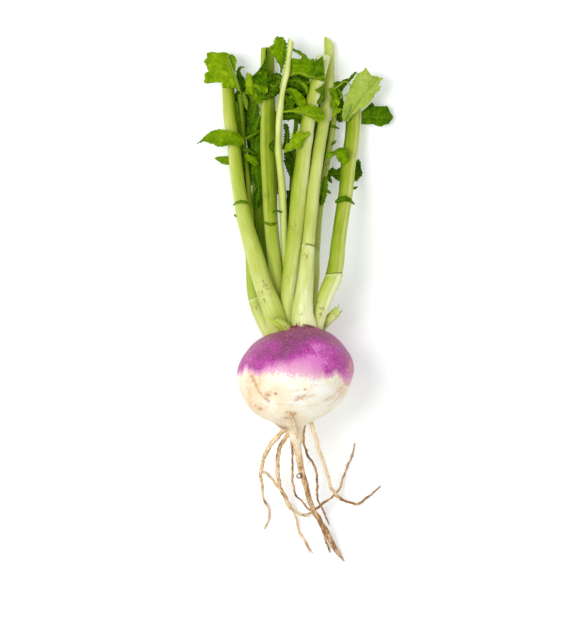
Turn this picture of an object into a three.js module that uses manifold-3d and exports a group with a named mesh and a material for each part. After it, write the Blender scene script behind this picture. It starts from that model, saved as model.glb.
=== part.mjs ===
// A purple-top turnip lying on its side, with its cut leaf stalks, torn leaf scraps and roots.
// Millimetres, +Z up. The stalks point along +Y, the roots along -Y, and the object rests on the plane z = 0.
// Positions in the tables are measured from the middle of the bulb, with z counted from the resting plane.
// The last step moves the group so that the origin is at the middle of the bottom of the whole object's box.
import * as THREE from "three";
import { mergeVertices } from "three/addons/utils/BufferGeometryUtils.js";
import Module from "manifold-3d";

const wasm = await Module();
wasm.setup();

// ---------- driving dimensions ----------
const BULB_RADIUS = 37.4; // half the bulb's widest diameter
const REST_FLAT_DEPTH = 0.5; // how far the bulb's skin is flattened where it lies
const BULB_HEIGHT = BULB_RADIUS - REST_FLAT_DEPTH; // height of the bulb's axis above the plane
const GAP = 0.3; // air left between touching pieces
const STALK_DEPTH = 0.86; // a stalk's thickness as a share of its width
const GROOVE_DEPTH = 0.16; // depth of a stalk's groove as a share of its radius
const LEAF_THICKNESS = 0.7;

const BULB_SEGMENTS = 40;
const STALK_SIDES = 12;
const ROOT_SIDES = 6;
const TAPROOT_SIDES = 8;
const STEP_PER_STALK_POINT = 1.6; // rings along a stalk for each point of its route
const STEP_PER_ROOT_POINT = 1.7;

// The bulb from the neck of the tap root to the crown, as [radius, distance along Y, sideways shift].
const BULB_PROFILE = [
  [4.6, -36, -0.2], [6.6, -33.6, -1.4], [9.4, -31.2, -2.2], [14, -28.9, -2.5], [19.4, -26.6, -2.9],
  [25.6, -22.6, -2.8], [30.2, -18, -2], [33.4, -13, -1.3], [35.8, -8, -0.7], [37, -3, -0.3],
  [BULB_RADIUS, 2, 0], [36.9, 7, 0.4], [35.3, 12, 0.9], [32.2, 17, 1.4], [28, 22, 1.6], [22.5, 26, 2.2],
  [16.5, 28.8, 3], [10.5, 30.4, 3.6], [4, 30.9, 4],
];

// Routes are rows of [x, y, z, width].
const TAPROOT = [
  [0.2, -28, 36.9, 9.5], [0.4, -34, 36.6, 8.6], [1, -44.7, 34.4, 4.9], [2.2, -51, 32.2, 4.5],
  [3.8, -60.7, 28.3, 3.9], [6.7, -70.3, 24.2, 3.8], [9.1, -80, 19.8, 3.5], [11.5, -86.5, 16.8, 3.3],
  [15.2, -92.8, 13.6, 3.6], [20.5, -102.4, 8.9, 3.7], [24, -108.9, 6, 3.3], [27.8, -115.3, 3.4, 2.6],
  [31.5, -120.4, 1, 1.4],
];

// groove: direction the groove faces, in degrees from straight up towards +X; slant: how the cut end leans.
const STALKS = {
  stalk_left_front: {
    groove: 150, slant: [0, 0],
    route: [
      [-9.5, 26, 38.4, 13.2], [-12, 35, 41.4, 13.8], [-15.6, 45.5, 42.2, 13.2], [-20.7, 59, 39.8, 11.6],
      [-26.8, 79.5, 34.3, 11.2], [-32.5, 100, 28.4, 9.8], [-36.8, 121.6, 21.8, 8.6], [-39.8, 148, 14.4, 8.3],
      [-42.3, 166, 9.4, 8.2], [-44, 188, 3.8, 8.2],
    ],
  },
  stalk_centre_right: {
    groove: 190, slant: [-0.9, 0],
    route: [
      [4.8, 26, 40.6, 15.5], [5.2, 32.5, 43.2, 16], [4.5, 40, 44.6, 14.2], [5.5, 52, 43.8, 11.6],
      [6.8, 66, 41.6, 10.2], [8.4, 86.5, 36.9, 8.2], [9.4, 100, 33.2, 7.9], [11.4, 121, 26.6, 7.7],
      [13.7, 138, 21.5, 7.7], [18.7, 168, 13, 7.3], [21.8, 186, 8.6, 6.8], [22.1, 199, 5.8, 6.6],
      [21.9, 219, 3.1, 6.6],
    ],
  },
  stalk_right_snapped: {
    groove: 62, slant: [0, 0],
    route: [
      [11.5, 25, 37, 8], [13.7, 32.5, 38.6, 8.4], [15.6, 40, 38.8, 9], [19.3, 52, 37.8, 10],
      [24.4, 64, 35.8, 10], [26.2, 72.8, 33.4, 10.2], [27.6, 86.5, 30.4, 9.6], [29.6, 100, 26.4, 9.3],
      [32.8, 121.6, 19.8, 9.4], [34.3, 138, 14.9, 9.6], [36.7, 155.4, 9.4, 9.5], [37.8, 175, 4.4, 9.5],
    ],
  },
  stalk_centre_front: {
    groove: 200, slant: [-0.15, 0.5],
    route: [
      [-4, 25, 37.5, 9.2], [-5.2, 38, 38.4, 9.4], [-4.9, 52, 38.8, 9.4], [-2.6, 73, 36.4, 10],
      [0.5, 100, 31.5, 10.6], [2.3, 121, 27.5, 10.2], [4.4, 138, 24.5, 9.8], [8.7, 168, 19.4, 9],
      [12.9, 186, 16.4, 8.8], [18.3, 209, 13.1, 9.3],
    ],
  },
  stalk_centre_left: {
    groove: 38, slant: [0, 0],
    route: [
      [-8, 25, 31.5, 9], [-9, 37, 31.2, 9.4], [-12.4, 66, 28.6, 9.3], [-14.6, 86.5, 26, 9],
      [-15.9, 100, 24, 9], [-16.8, 121, 20.4, 9.6], [-17.9, 147, 15.7, 9.8], [-18, 180, 9.6, 9.4],
      [-18.2, 213, 4.1, 8.6],
    ],
  },
  stalk_thin_front: {
    groove: 120, slant: [-0.6, 0],
    route: [
      [0.6, 25, 31.6, 4.4], [-0.6, 35, 31.4, 4.6], [-4.4, 55, 30.6, 4.5], [-6.8, 78.7, 29.4, 4.5],
      [-7.6, 100, 28, 4.6], [-8.8, 121.6, 27, 5.2], [-10.4, 138, 26.5, 4.6], [-11.1, 155.4, 26, 3.8],
      [-10.3, 173, 25.5, 4.2], [-6.4, 194.4, 25, 3.7], [-2.9, 217.5, 24, 3.6],
    ],
  },
  stalk_left_back: {
    groove: 120, slant: [0, 0],
    route: [
      [-13.5, 22, 31.5, 7.4], [-18.5, 29.5, 30, 7.7], [-23.4, 40, 27.6, 7.7], [-26.7, 50, 25.4, 7.4],
      [-28.9, 77, 20.2, 7], [-31, 115, 13.4, 6], [-34, 147, 7.4, 4.8], [-36, 183, 2.2, 4.3],
    ],
  },
  stalk_left_inner: {
    groove: 160, slant: [0, 0],
    route: [
      [-7, 24, 24.4, 7.4], [-10.4, 37.7, 22.8, 7.6], [-19.8, 74, 16, 7.5], [-23.7, 95, 12.4, 7.5],
      [-24.6, 134, 6.9, 7.5], [-26.5, 165, 3.9, 6.6], [-27.6, 188, 2.7, 6],
    ],
  },
  stalk_hidden_thin: {
    groove: 180, slant: [0, 0],
    route: [
      [2.4, 24, 26, 3.4], [1, 36, 25.4, 3.4], [-3.6, 80, 18.6, 3.2], [-3.6, 100, 15.4, 3.2],
      [-2.6, 121, 12, 3.2], [-0.8, 150, 7.6, 3.1], [1.4, 176, 3.6, 2.8],
    ],
  },
  stalk_right_thin: {
    groove: 180, slant: [0, 0],
    route: [
      [7.5, 24, 31, 3.6], [9, 36, 30, 3.6], [12.4, 52, 27, 3.5], [14.3, 86.5, 20.4, 3.4],
      [15.9, 106.6, 16.8, 3.4], [18.9, 129.4, 12.9, 3.4], [23.5, 155.4, 8.6, 3.6], [25.5, 173, 5.6, 3.2],
      [26.2, 190, 3, 2.6],
    ],
  },
  stub_right: {
    groove: 90, slant: [0.3, 0.2],
    route: [[13.2, 24, 31.2, 6.3], [16.6, 31.2, 32.2, 6.3], [22, 37, 33.4, 6.1], [27.4, 42.2, 33.8, 5.9]],
  },
  stub_left_front: {
    groove: 180, slant: [0.2, 0.2],
    route: [[-3.4, 27.6, 46.6, 6.6], [-5.6, 31, 49.8, 6.6], [-9, 33.6, 51.8, 6.5], [-13.3, 36, 52.6, 6.3]],
  },
};

const SIDE_ROOTS = {
  side_root_left_outer: [
    [-5.2, -32, 37.5, 3.8], [-7.7, -35, 36.8, 3.3], [-13.5, -40.8, 34, 3.1], [-18.7, -49.1, 29, 2.7],
    [-21.3, -56.2, 23.4, 2.4], [-22.6, -63.2, 17.4, 2.1], [-21.6, -70.3, 11.4, 1.7], [-20.3, -80.6, 5, 1.4],
    [-17.4, -87, 2.2, 1.3], [-17.1, -92.2, 1.2, 1.2], [-20.3, -99.6, 0.8, 1],
  ],
  side_root_left_inner: [
    [-3.4, -33.5, 39.6, 3.4], [-5.2, -37.6, 38.6, 3.1], [-9, -43.4, 35.2, 2.8], [-11.3, -51, 29.4, 2.6],
    [-11.6, -58.8, 23, 2.5], [-10.7, -69, 15.6, 2.3], [-8.4, -75.5, 11.4, 2.3], [-5.2, -81.9, 7.8, 3.1],
    [-2, -87, 5.4, 2.2], [1.9, -89.6, 4.4, 1.6], [6.4, -90.5, 4, 1.5], [10.9, -88.3, 4, 1.3],
  ],
  side_root_left_link: [
    [-20.9, -62.2, 17.4, 1.5], [-19, -62.8, 16.6, 1.5], [-16.1, -65.2, 15.4, 1.4], [-12.6, -69.6, 15, 1.3],
  ],
  side_root_left_branch: [
    [-0.9, -89, 4.6, 1.5], [0.9, -94.8, 3, 1.4], [1.9, -99.9, 1.7, 1.3], [4.7, -105, 1.1, 1.6],
    [8.3, -111.5, 0.9, 1.5], [10.9, -115, 0.8, 1.2],
  ],
  side_root_centre_thin: [
    [-1.8, -38, 38.2, 1.7], [-2.7, -41.8, 37, 1.5], [-2.3, -47.2, 33.6, 1.4], [-1.9, -57.5, 26.4, 1.3],
    [-1.7, -69, 18, 1.3], [0, -76.1, 13.6, 1.2], [5.1, -82.6, 10.2, 1.2], [9.6, -87.2, 8.6, 1.1],
  ],
  side_root_crossing: [
    [12, -86.6, 15.6, 1.7], [14.6, -85.2, 14.2, 1.7], [18.5, -82.6, 11, 1.6], [25, -77.4, 6.6, 1.6],
    [28.5, -73.5, 4.8, 1.5], [30.8, -66.5, 2.6, 1.3], [34, -57.5, 1.2, 1.2], [37.2, -50.4, 0.9, 1.1],
    [38.4, -43.7, 0.8, 1],
  ],
  side_root_centre_right: [
    [7.2, -28.5, 37, 2.4], [5.3, -34.5, 35.2, 1.7], [5.3, -40, 31.6, 1.6], [8, -51.7, 24.2, 1.5],
    [12.2, -58.1, 19.6, 1.5], [13.8, -63.9, 16, 1.4], [14.1, -73.5, 10, 1.3], [14.4, -80, 6.6, 1.3],
    [17.3, -86.4, 3.6, 1.2], [19.8, -91.5, 1.8, 1.1], [21.8, -97, 0.9, 1],
  ],
  side_root_right: [
    [9, -28, 38.2, 3.4], [10.6, -33, 37, 2.8], [12.8, -38.9, 34.4, 2.6], [15.3, -47.2, 29.6, 2.5],
    [18.5, -57.5, 22.8, 2.3], [21.8, -67.7, 16, 2.2], [25, -75.5, 10.8, 2.1], [28.9, -79.3, 8, 1.8],
    [34, -81.9, 5, 1.6], [41.4, -82.9, 2.2, 1.5], [46.9, -78.7, 1.1, 1.2], [55.2, -71.6, 0.8, 1],
  ],
  side_root_low: [
    [17.4, -99.6, 9.2, 1.3], [19, -105, 5.4, 1.2], [21.4, -111.5, 2, 1.1], [22.2, -114.7, 1, 1],
  ],
  rootlet_on_neck: [
    [-4, -22.9, 62.6, 1.5], [-2.8, -26.9, 58.5, 1.9], [-1.6, -30.7, 50.9, 1.9], [-0.7, -34.8, 44.9, 1.7],
    [0.1, -39.4, 40.6, 1.3],
  ],
};

// A leaf scrap: rib is the midrib's route, left and right the blade's half widths at even steps along it,
// seen from above while travelling from the stalk to the tip. roll tips the blade about the midrib.
const LEAVES = {
  leaf_left_tip: {
    rib: [[-36.3, 184.5, 12.5], [-38.6, 192, 14.5], [-41.3, 200, 15], [-43.5, 209.5, 12.5]],
    left: [3, 10, 20, 20.6, 17, 18, 16.2, 12.8], right: [0.5, 0.8, 0.8, 1.5, 1.3, 2.8, 4, 0.8], roll: -16,
  },
  leaf_left_crossing: {
    rib: [
      [-33.8, 151.3, 15.4], [-37.5, 152.6, 19], [-42, 154, 20.4], [-52, 155.3, 17], [-59, 153.3, 12.5],
      [-64, 151.2, 9],
    ],
    left: [1, 2.6, 3.6, 4.6, 6.2, 5, 2.5, 0.3], right: [1.5, 3, 4, 5.2, 4.6, 3.4, 1.8, 0.3], roll: 0,
  },
  leaf_left_small: {
    rib: [[-43.2, 139.6, 13], [-47, 140.6, 11.4], [-52.6, 141.4, 8]],
    left: [2.8, 3, 2.8, 1.3, 0.2], right: [2.6, 2.4, 2, 1.1, 0.2], roll: 8,
  },
  leaf_left_curl: {
    rib: [
      [-33.6, 187.8, 7.5], [-35.4, 191.5, 9.5], [-36.4, 196.5, 11], [-35.5, 200.4, 11.5],
      [-32.8, 201.4, 11],
    ],
    left: [1.6, 1.4, 0.9, 0.8, 0.3], right: [2.2, 2, 1.3, 0.9, 0.3], roll: 20,
  },
  leaf_inner_left: {
    rib: [[-18, 189.5, 14.8], [-22, 190, 14.4], [-27, 190, 12.6], [-32, 189, 9.6]],
    left: [6.5, 8, 11, 13.5, 12, 9, 5, 2], right: [13, 10.5, 7, 5, 4.5, 5, 6.5, 3.5], roll: 6,
  },
  leaf_gap_dark: {
    rib: [[-9.6, 193.5, 15.5], [-12.5, 188, 14.5], [-18.8, 182.2, 15.5]],
    left: [1.5, 3, 3.5, 2, 0.8], right: [2, 4, 4.5, 2.5, 0.6], roll: -12,
  },
  leaf_top_serrated: {
    rib: [[-9.2, 198.5, 20], [-8.8, 208, 20.4], [-7.8, 220.3, 18.6]],
    left: [0.8, 3.2, 4, 7.2, 7.8, 6.2, 5.4, 1], right: [0.5, 1, 1.4, 1.6, 1.8, 2, 1.4, 0.3], roll: -10,
  },
  leaf_top_right: {
    rib: [[-4.6, 194.6, 22.6], [1.9, 196.6, 22.2], [9.2, 193.6, 21], [18.9, 190.6, 19.8]],
    left: [2, 15.5, 15, 14.5, 12, 12.5, 16, 3], right: [0.4, 0.6, 0.5, 0.6, 0.8, 1.2, 1.5, 0.3], roll: -4,
  },
  leaf_centre_dark: {
    rib: [[-4.5, 190.5, 18], [1, 187, 15], [7.5, 186.5, 13]],
    left: [3, 6, 6, 5, 2], right: [2, 4, 5, 4, 1], roll: 14,
  },
  leaf_centre_curled: {
    rib: [[-7.4, 184, 22], [-2, 182, 19.4], [3, 178.5, 18], [6, 176, 17.6]],
    left: [1.5, 3, 4, 3, 1], right: [2, 4.5, 5, 4, 1.4], roll: -14,
  },
  leaf_right_ribbed: {
    rib: [[-8, 171.4, 25.4], [-2.5, 171.6, 25.4], [3.5, 170.5, 25], [11, 168.6, 24.4], [17.8, 166.4, 22.2]],
    left: [0.8, 1, 2.5, 5.5, 7.5, 7, 6.5, 1.8], right: [0.5, 0.6, 0.6, 0.8, 1.2, 2.5, 3.5, 0.8], roll: 4,
  },
  leaf_small_bright: {
    rib: [[-8, 145.2, 27.6], [-1, 149.5, 28.4], [4.5, 153.5, 29], [9.8, 157.2, 28.6]],
    left: [0.6, 1.5, 6.5, 7, 6, 3.5, 1.8, 0.3], right: [0.5, 1, 2, 4, 5, 4, 1.8, 0.3], roll: 0,
  },
  leaf_lacy_dark: {
    rib: [[-7.5, 147, 21], [-5.4, 153, 18.6], [-6.3, 160, 18.4], [-7.6, 163.5, 18.6]],
    left: [1.2, 2, 1.4, 1, 0.3], right: [1.2, 2.4, 2, 1, 0.4], roll: 25,
  },
  leaf_low_dark: {
    rib: [[-6.2, 145, 17], [-3.8, 136, 15], [-1.5, 128, 14]],
    left: [1.2, 2.2, 2.4, 1.6, 0.6], right: [1, 2, 2.5, 1.5, 0.5], roll: 10,
  },
  leaf_on_stalk: {
    rib: [[-14, 145.8, 20.6], [-15.5, 149, 21.2], [-16.5, 152.5, 21]],
    left: [1.5, 2.4, 1.4, 0.3], right: [1.5, 2, 1.2, 0.3], roll: 0,
  },
  leaf_under_rib: {
    rib: [[-5, 169, 18.6], [-1.4, 166.6, 17], [2, 163.6, 16]],
    left: [1.5, 1.6, 1.2, 0.6], right: [1.5, 3, 3.5, 1], roll: 12,
  },
  leaf_right_tip: {
    rib: [[33.6, 165.8, 12.6], [37.2, 172.3, 14.6], [42.5, 182.2, 16.4], [51.5, 194.8, 13.4]],
    left: [4, 6.5, 7.6, 8.6, 10.4, 11, 10, 2], right: [0.3, 0.5, 2.6, 6.4, 7.6, 7.7, 6, 6], roll: 8,
  },
  leaf_right_dark: {
    rib: [[43, 167, 6.8], [48, 167, 7.4], [56, 167.4, 6.4], [63.7, 168.6, 4]],
    left: [4.5, 7, 10.5, 9, 8.8, 8.6, 5, 0.5], right: [3.2, 4, 4.6, 4, 4.5, 5.2, 3.2, 0.4], roll: -6,
  },
  leaf_dark_strip: {
    rib: [[27.6, 184, 8], [30.5, 189.5, 9.6], [34.5, 193, 10.6], [39.5, 197.8, 11]],
    left: [2, 3.2, 2.4, 1.6, 1, 0.3], right: [2, 3, 2.8, 2, 1.2, 0.3], roll: -15,
  },
  leaf_dark_hanging: {
    rib: [[29.4, 181.5, 6], [29.8, 173, 5], [29.2, 165, 3.5]],
    left: [0.8, 1.6, 1.6, 1.2, 0.4], right: [0.8, 1.6, 1.6, 1.3, 0.4], roll: 10,
  },
  leaf_right_curled: {
    rib: [[27, 176, 12], [26, 181, 14.6], [23.4, 186.4, 15]],
    left: [1.6, 2.6, 2.2, 0.6], right: [1.8, 2.6, 2, 0.6], roll: 12,
  },
  leaf_right_spike: {
    rib: [[22.8, 162, 12.2], [25, 161.5, 12], [28.4, 160.3, 10.6]],
    left: [0.9, 0.8, 0.2], right: [0.9, 0.8, 0.2], roll: 0,
  },
  leaf_right_mid: {
    rib: [[20.4, 144.3, 17], [26.5, 144.8, 19], [34.3, 142.2, 20]],
    left: [2.5, 2.8, 1.8, 3.6, 5, 1.5], right: [3.2, 3.6, 2.2, 4.5, 5, 1.5], roll: 0,
  },
  leaf_right_behind: {
    rib: [[21.6, 131.3, 10.6], [27, 131, 8.6], [35, 130.8, 6.2], [43.4, 131.6, 4.8]],
    left: [1.5, 4.8, 4.5, 3.5, 4.5, 8.5, 6, 0.6], right: [4, 5, 3.6, 4.5, 5, 5.2, 3, 0.5], roll: 0,
  },
  leaf_right_serrated: {
    rib: [[20.6, 130, 17.4], [20.6, 120, 18], [17.6, 110, 19.4]],
    left: [1, 2, 2.2, 3.2, 2, 0.4], right: [1, 1.6, 1.8, 1.8, 1.4, 0.4], roll: 18,
  },
  leaf_wrap_right: {
    rib: [[26, 112.3, 21.4], [28, 114.6, 26], [31.5, 115.8, 27.8], [35, 114.6, 26.4], [38.3, 111.6, 21.6]],
    left: [0.5, 1, 1.1, 0.8, 0.2], right: [0.5, 1, 1.1, 0.8, 0.2], roll: 0,
  },
  leaf_spike_far_right: {
    rib: [[37.9, 121.6, 19.8], [39, 122, 19.4], [40.6, 122.6, 19]],
    left: [1, 0.9, 0.2], right: [1, 0.9, 0.2], roll: 0,
  },
  leaf_wrap_left: {
    rib: [
      [-40.6, 110.6, 24.8], [-38.4, 112.3, 28.8], [-34.9, 113, 30.6], [-31.5, 112.4, 29],
      [-29.4, 111.2, 24.8],
    ],
    left: [0.3, 0.9, 1.2, 1, 0.5], right: [0.3, 0.9, 1.2, 1, 0.5], roll: 0,
  },
  leaf_wrap_centre: {
    rib: [[-21.4, 100.2, 24], [-19, 98.8, 28], [-16, 98.2, 29.6], [-13.2, 98.6, 28], [-11, 99.8, 24.6]],
    left: [0.3, 0.9, 1.1, 0.9, 0.4], right: [0.3, 0.9, 1.1, 0.9, 0.4], roll: 0,
  },
  leaf_shadow_left: {
    rib: [[-24, 168, 12.6], [-26.5, 160, 11], [-29.4, 152, 10.6]],
    left: [1.4, 2.6, 3.2, 2.4, 0.8], right: [2, 3.4, 3.6, 3, 1], roll: 8,
  },
  leaf_pale_edge: {
    rib: [[-32, 145.5, 14], [-28.5, 141, 14.6], [-25, 136.5, 14]],
    left: [1, 1.5, 1.2, 0.4], right: [1, 1.8, 1.5, 0.4], roll: -12,
  },
  leaf_low_left_dark: {
    rib: [[-23.4, 122, 14.6], [-24.8, 116, 15], [-26, 109.6, 15.6]],
    left: [1.6, 2.6, 2.6, 1.2], right: [1.5, 2.5, 2.5, 1], roll: 8,
  },
};

const WIDE_LEAF = 6; // a blade with a half width above this gets rows across it as well as its edges

// ---------- materials ----------
function material(color, roughness) {
  return new THREE.MeshStandardMaterial({ color, roughness, metalness: 0 });
}
const SKIN = material(0xb0609a, 0.45);
const STALK = material(0xb2c86a, 0.5);
const ROOT = material(0xd8bc90, 0.75);
const LEAF = material(0x6c9b1c, 0.55);

// ---------- geometry helpers ----------
const UP = new THREE.Vector3(0, 0, 1);

// Value of an evenly spaced list at a place t from 0 to 1.
function sample(list, t) {
  const at = t * (list.length - 1);
  const i = Math.min(Math.floor(at), list.length - 2);
  return THREE.MathUtils.lerp(list[i], list[i + 1], at - i);
}

function curveThrough(rows) {
  const points = rows.map(([x, y, z]) => new THREE.Vector3(x, y, z));
  return new THREE.CatmullRomCurve3(points, false, "centripetal");
}

// Point, direction, sideways and upward vectors of a curve at t.
function frameAt(curve, t) {
  const at = curve.getPoint(t);
  const along = curve.getTangent(t);
  const side = new THREE.Vector3().crossVectors(UP, along).normalize(); // to the left of the way
  const over = new THREE.Vector3().crossVectors(along, side);
  return { at, along, side, over };
}

// A closed surface from rings of points, each ring the same length, with both ends closed by a fan.
// Each ring runs from the top to the left of the way, then underneath and back up on the right.
function closedLoft(rings) {
  const sides = rings[0].length;
  const points = rings.flat();
  const faces = [];
  for (let r = 0; r < rings.length - 1; r++) {
    for (let k = 0; k < sides; k++) {
      const a = r * sides + k;
      const b = r * sides + ((k + 1) % sides);
      faces.push(a, a + sides, b, b, a + sides, b + sides);
    }
  }
  for (const [ring, atTip] of [[0, false], [rings.length - 1, true]]) {
    const middle = rings[ring].reduce((sum, p) => sum.add(p), new THREE.Vector3()).divideScalar(sides);
    const centre = points.push(middle) - 1;
    for (let k = 0; k < sides; k++) {
      const a = ring * sides + k;
      const b = ring * sides + ((k + 1) % sides);
      faces.push(...(atTip ? [centre, b, a] : [centre, a, b]));
    }
  }
  return indexed(points, faces);
}

function indexed(points, faces) {
  const geometry = new THREE.BufferGeometry().setFromPoints(points);
  geometry.setIndex(faces);
  return geometry;
}

// Geometry to a solid that can be joined and cut, and back.
function solidOf(geometry) {
  const bare = geometry.clone();
  bare.deleteAttribute("normal");
  bare.deleteAttribute("uv");
  const merged = mergeVertices(bare, 1e-4);
  return new wasm.Manifold(new wasm.Mesh({
    numProp: 3,
    vertProperties: merged.attributes.position.array,
    triVerts: new Uint32Array(merged.index.array),
  }));
}

function geometryOf(solid) {
  const mesh = solid.getMesh();
  const points = [];
  for (let v = 0; v < mesh.numVert; v++) {
    points.push(new THREE.Vector3().fromArray(mesh.vertProperties, v * mesh.numProp));
  }
  return indexed(points, Array.from(mesh.triVerts));
}

// A tapering round or flattened rod along a route of [x, y, z, width] rows. grow makes it fatter all round.
function rod(route, { sides, steps, depth = 1, groove = null, slant = [0, 0], grow = 0 }) {
  const curve = curveThrough(route);
  const widths = route.map((row) => row[3]);
  const rings = [];
  for (let i = 0; i <= steps; i++) {
    const t = i / steps;
    const { at, along, side, over } = frameAt(curve, t);
    const end = i === 0 ? -grow : i === steps ? grow : 0;
    const ring = [];
    for (let k = 0; k < sides; k++) {
      const angle = (2 * Math.PI * k) / sides;
      const dent = groove === null ? 1 : 1 - GROOVE_DEPTH * grooveShare(angle, groove);
      const r = (sample(widths, t) / 2) * dent;
      const across = (r + grow) * Math.sin(angle);
      const above = (r * depth + grow) * Math.cos(angle);
      const lean = i === steps ? across * slant[0] + above * slant[1] : 0;
      ring.push(at.clone()
        .addScaledVector(side, across)
        .addScaledVector(over, above)
        .addScaledVector(along, end + lean));
    }
    rings.push(ring);
  }
  return solidOf(closedLoft(rings));
}

// How much of the groove's full depth a stalk has at an angle, from straight up towards the side vector.
function grooveShare(angle, grooveDegrees) {
  const away = Math.cos(angle + THREE.MathUtils.degToRad(grooveDegrees));
  return Math.max(0, away) ** 6;
}

function stalk({ route, groove, slant }, grow = 0) {
  const steps = Math.round(route.length * STEP_PER_STALK_POINT);
  return rod(route, { sides: STALK_SIDES, steps, depth: STALK_DEPTH, groove, slant, grow });
}

function sideRoot(route, grow = 0) {
  return rod(route, { sides: ROOT_SIDES, steps: Math.round(route.length * STEP_PER_ROOT_POINT), grow });
}

function bulb(grow) {
  const rings = BULB_PROFILE.map(([radius, y, shift]) => {
    const ring = [];
    for (let k = 0; k < BULB_SEGMENTS; k++) {
      const angle = (2 * Math.PI * k) / BULB_SEGMENTS;
      const across = (radius + grow) * Math.sin(angle);
      const above = (radius + grow) * Math.cos(angle);
      ring.push(new THREE.Vector3(shift - across, y + Math.sign(y) * grow, BULB_HEIGHT + above));
    }
    return ring;
  });
  return solidOf(closedLoft(rings));
}

// The swollen bulb and its tap root are one piece. The bulb is flattened a little where it rests.
function bulbWithTaproot(grow = 0) {
  const taproot = rod(TAPROOT, {
    sides: TAPROOT_SIDES, steps: Math.round(TAPROOT.length * STEP_PER_ROOT_POINT), grow,
  });
  const whole = bulb(grow).add(taproot);
  const below = new THREE.BoxGeometry(4 * BULB_RADIUS, 8 * BULB_RADIUS, BULB_RADIUS);
  below.translate(0, 0, -BULB_RADIUS / 2 - grow);
  return whole.subtract(solidOf(below));
}

// A leaf blade as a thin plate that follows its midrib.
function leafBlade({ rib, left, right, roll }, grow = 0) {
  const curve = curveThrough(rib);
  const rows = left.length;
  const wide = Math.max(...left, ...right) > WIDE_LEAF;
  const places = wide ? [-1, -0.5, 0, 0.5, 1] : [-1, 0, 1];
  const half = LEAF_THICKNESS / 2 + grow;
  const tilt = THREE.MathUtils.degToRad(roll);
  const rings = [];
  for (let i = 0; i < rows; i++) {
    const t = i / (rows - 1);
    const { at, along, side, over } = frameAt(curve, t);
    const across = side.clone().multiplyScalar(Math.cos(tilt)).addScaledVector(over, Math.sin(tilt));
    const normal = over.clone().multiplyScalar(Math.cos(tilt)).addScaledVector(side, -Math.sin(tilt));
    const end = i === 0 ? -grow : i === rows - 1 ? grow : 0;
    const spread = (place, face) => {
      const reach = place > 0 ? place * (left[i] + grow) : place * (right[i] + grow);
      return at.clone().addScaledVector(across, reach).addScaledVector(normal, face * half)
        .addScaledVector(along, end);
    };
    const top = places.map((place) => spread(place, 1));
    const bottom = [...places].reverse().map((place) => spread(place, -1));
    rings.push([...top, ...bottom]);
  }
  return solidOf(closedLoft(rings));
}

// ---------- assembly ----------
const group = new THREE.Group();
const placed = []; // each piece so far, grown by the gap

function apart(a, b) {
  return [0, 1, 2].some((i) => a.max[i] < b.min[i] || b.max[i] < a.min[i]);
}

// Adds a piece, cut back by the gap from every piece before it. If that parts it, the largest body stays.
function place(name, make, look) {
  let solid = make(0);
  for (const earlier of placed) {
    if (!apart(solid.boundingBox(), earlier.boundingBox())) solid = solid.subtract(earlier);
  }
  solid = solid.decompose().sort((a, b) => b.volume() - a.volume())[0];
  placed.push(make(GAP));
  const mesh = new THREE.Mesh(geometryOf(solid), look);
  mesh.name = name;
  group.add(mesh);
}

place("bulb_with_taproot", bulbWithTaproot, SKIN);
for (const [name, data] of Object.entries(STALKS)) place(name, (grow) => stalk(data, grow), STALK);
for (const [name, route] of Object.entries(SIDE_ROOTS)) place(name, (grow) => sideRoot(route, grow), ROOT);
for (const [name, data] of Object.entries(LEAVES)) place(name, (grow) => leafBlade(data, grow), LEAF);

const box = new THREE.Box3().setFromObject(group, true);
const middle = box.getCenter(new THREE.Vector3());
group.position.set(-middle.x, -middle.y, -box.min.z);

export default group;
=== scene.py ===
"""A purple-top turnip with its cut leaf stalks, torn leaves and roots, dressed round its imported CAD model.

The tables are in millimetres from the middle of the bulb, with z from the surface that it lies on. +Y runs
towards the cut ends of the stalks and +X to the right, seen from above.
"""
import math

import bpy
import numpy as np
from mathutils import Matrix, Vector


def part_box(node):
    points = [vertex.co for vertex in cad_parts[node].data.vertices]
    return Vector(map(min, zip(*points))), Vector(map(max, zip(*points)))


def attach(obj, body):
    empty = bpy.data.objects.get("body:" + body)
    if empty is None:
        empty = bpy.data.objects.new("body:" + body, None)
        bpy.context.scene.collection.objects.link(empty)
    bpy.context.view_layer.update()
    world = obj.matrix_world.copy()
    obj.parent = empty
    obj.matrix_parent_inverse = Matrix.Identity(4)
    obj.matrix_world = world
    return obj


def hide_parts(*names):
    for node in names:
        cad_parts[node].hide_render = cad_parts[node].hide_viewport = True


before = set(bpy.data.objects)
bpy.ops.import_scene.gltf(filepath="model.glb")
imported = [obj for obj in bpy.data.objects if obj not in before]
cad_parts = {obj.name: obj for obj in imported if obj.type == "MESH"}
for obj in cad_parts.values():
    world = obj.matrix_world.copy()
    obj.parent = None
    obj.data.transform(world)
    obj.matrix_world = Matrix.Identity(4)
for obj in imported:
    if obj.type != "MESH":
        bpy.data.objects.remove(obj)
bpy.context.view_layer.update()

# ---------- place and scale ----------
MM = 0.001
BULB_RADIUS = 37.4
BULB_HEIGHT = 36.9  # of the bulb's axis above the surface
CROWN_TOP = 30.9  # the bulb's furthest point along +Y
bulb_low, bulb_high = (np.array(corner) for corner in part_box("bulb_with_taproot"))
HOME = np.array([(bulb_low[0] + bulb_high[0]) / 2, bulb_high[1] - CROWN_TOP * MM, bulb_low[2]])
UP = np.array([0.0, 0.0, 1.0])

# ---------- camera, floor and light ----------
FIELD_HEIGHT = 0.4005  # metres of the object's plane that the picture's long side shows
CAMERA_DISTANCE = 5.0
FOCUS_HEIGHT = 0.02
AIM = np.array([-0.0024, -0.007])  # from the middle of the CAD box
SENSOR = 36.0
FLOOR_HALF = 3.0
WORLD_STRENGTH = 0.59
LIGHT_LEVEL = 1.05  # what a level surface gets, so that a colour in a table is the colour that is seen

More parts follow.
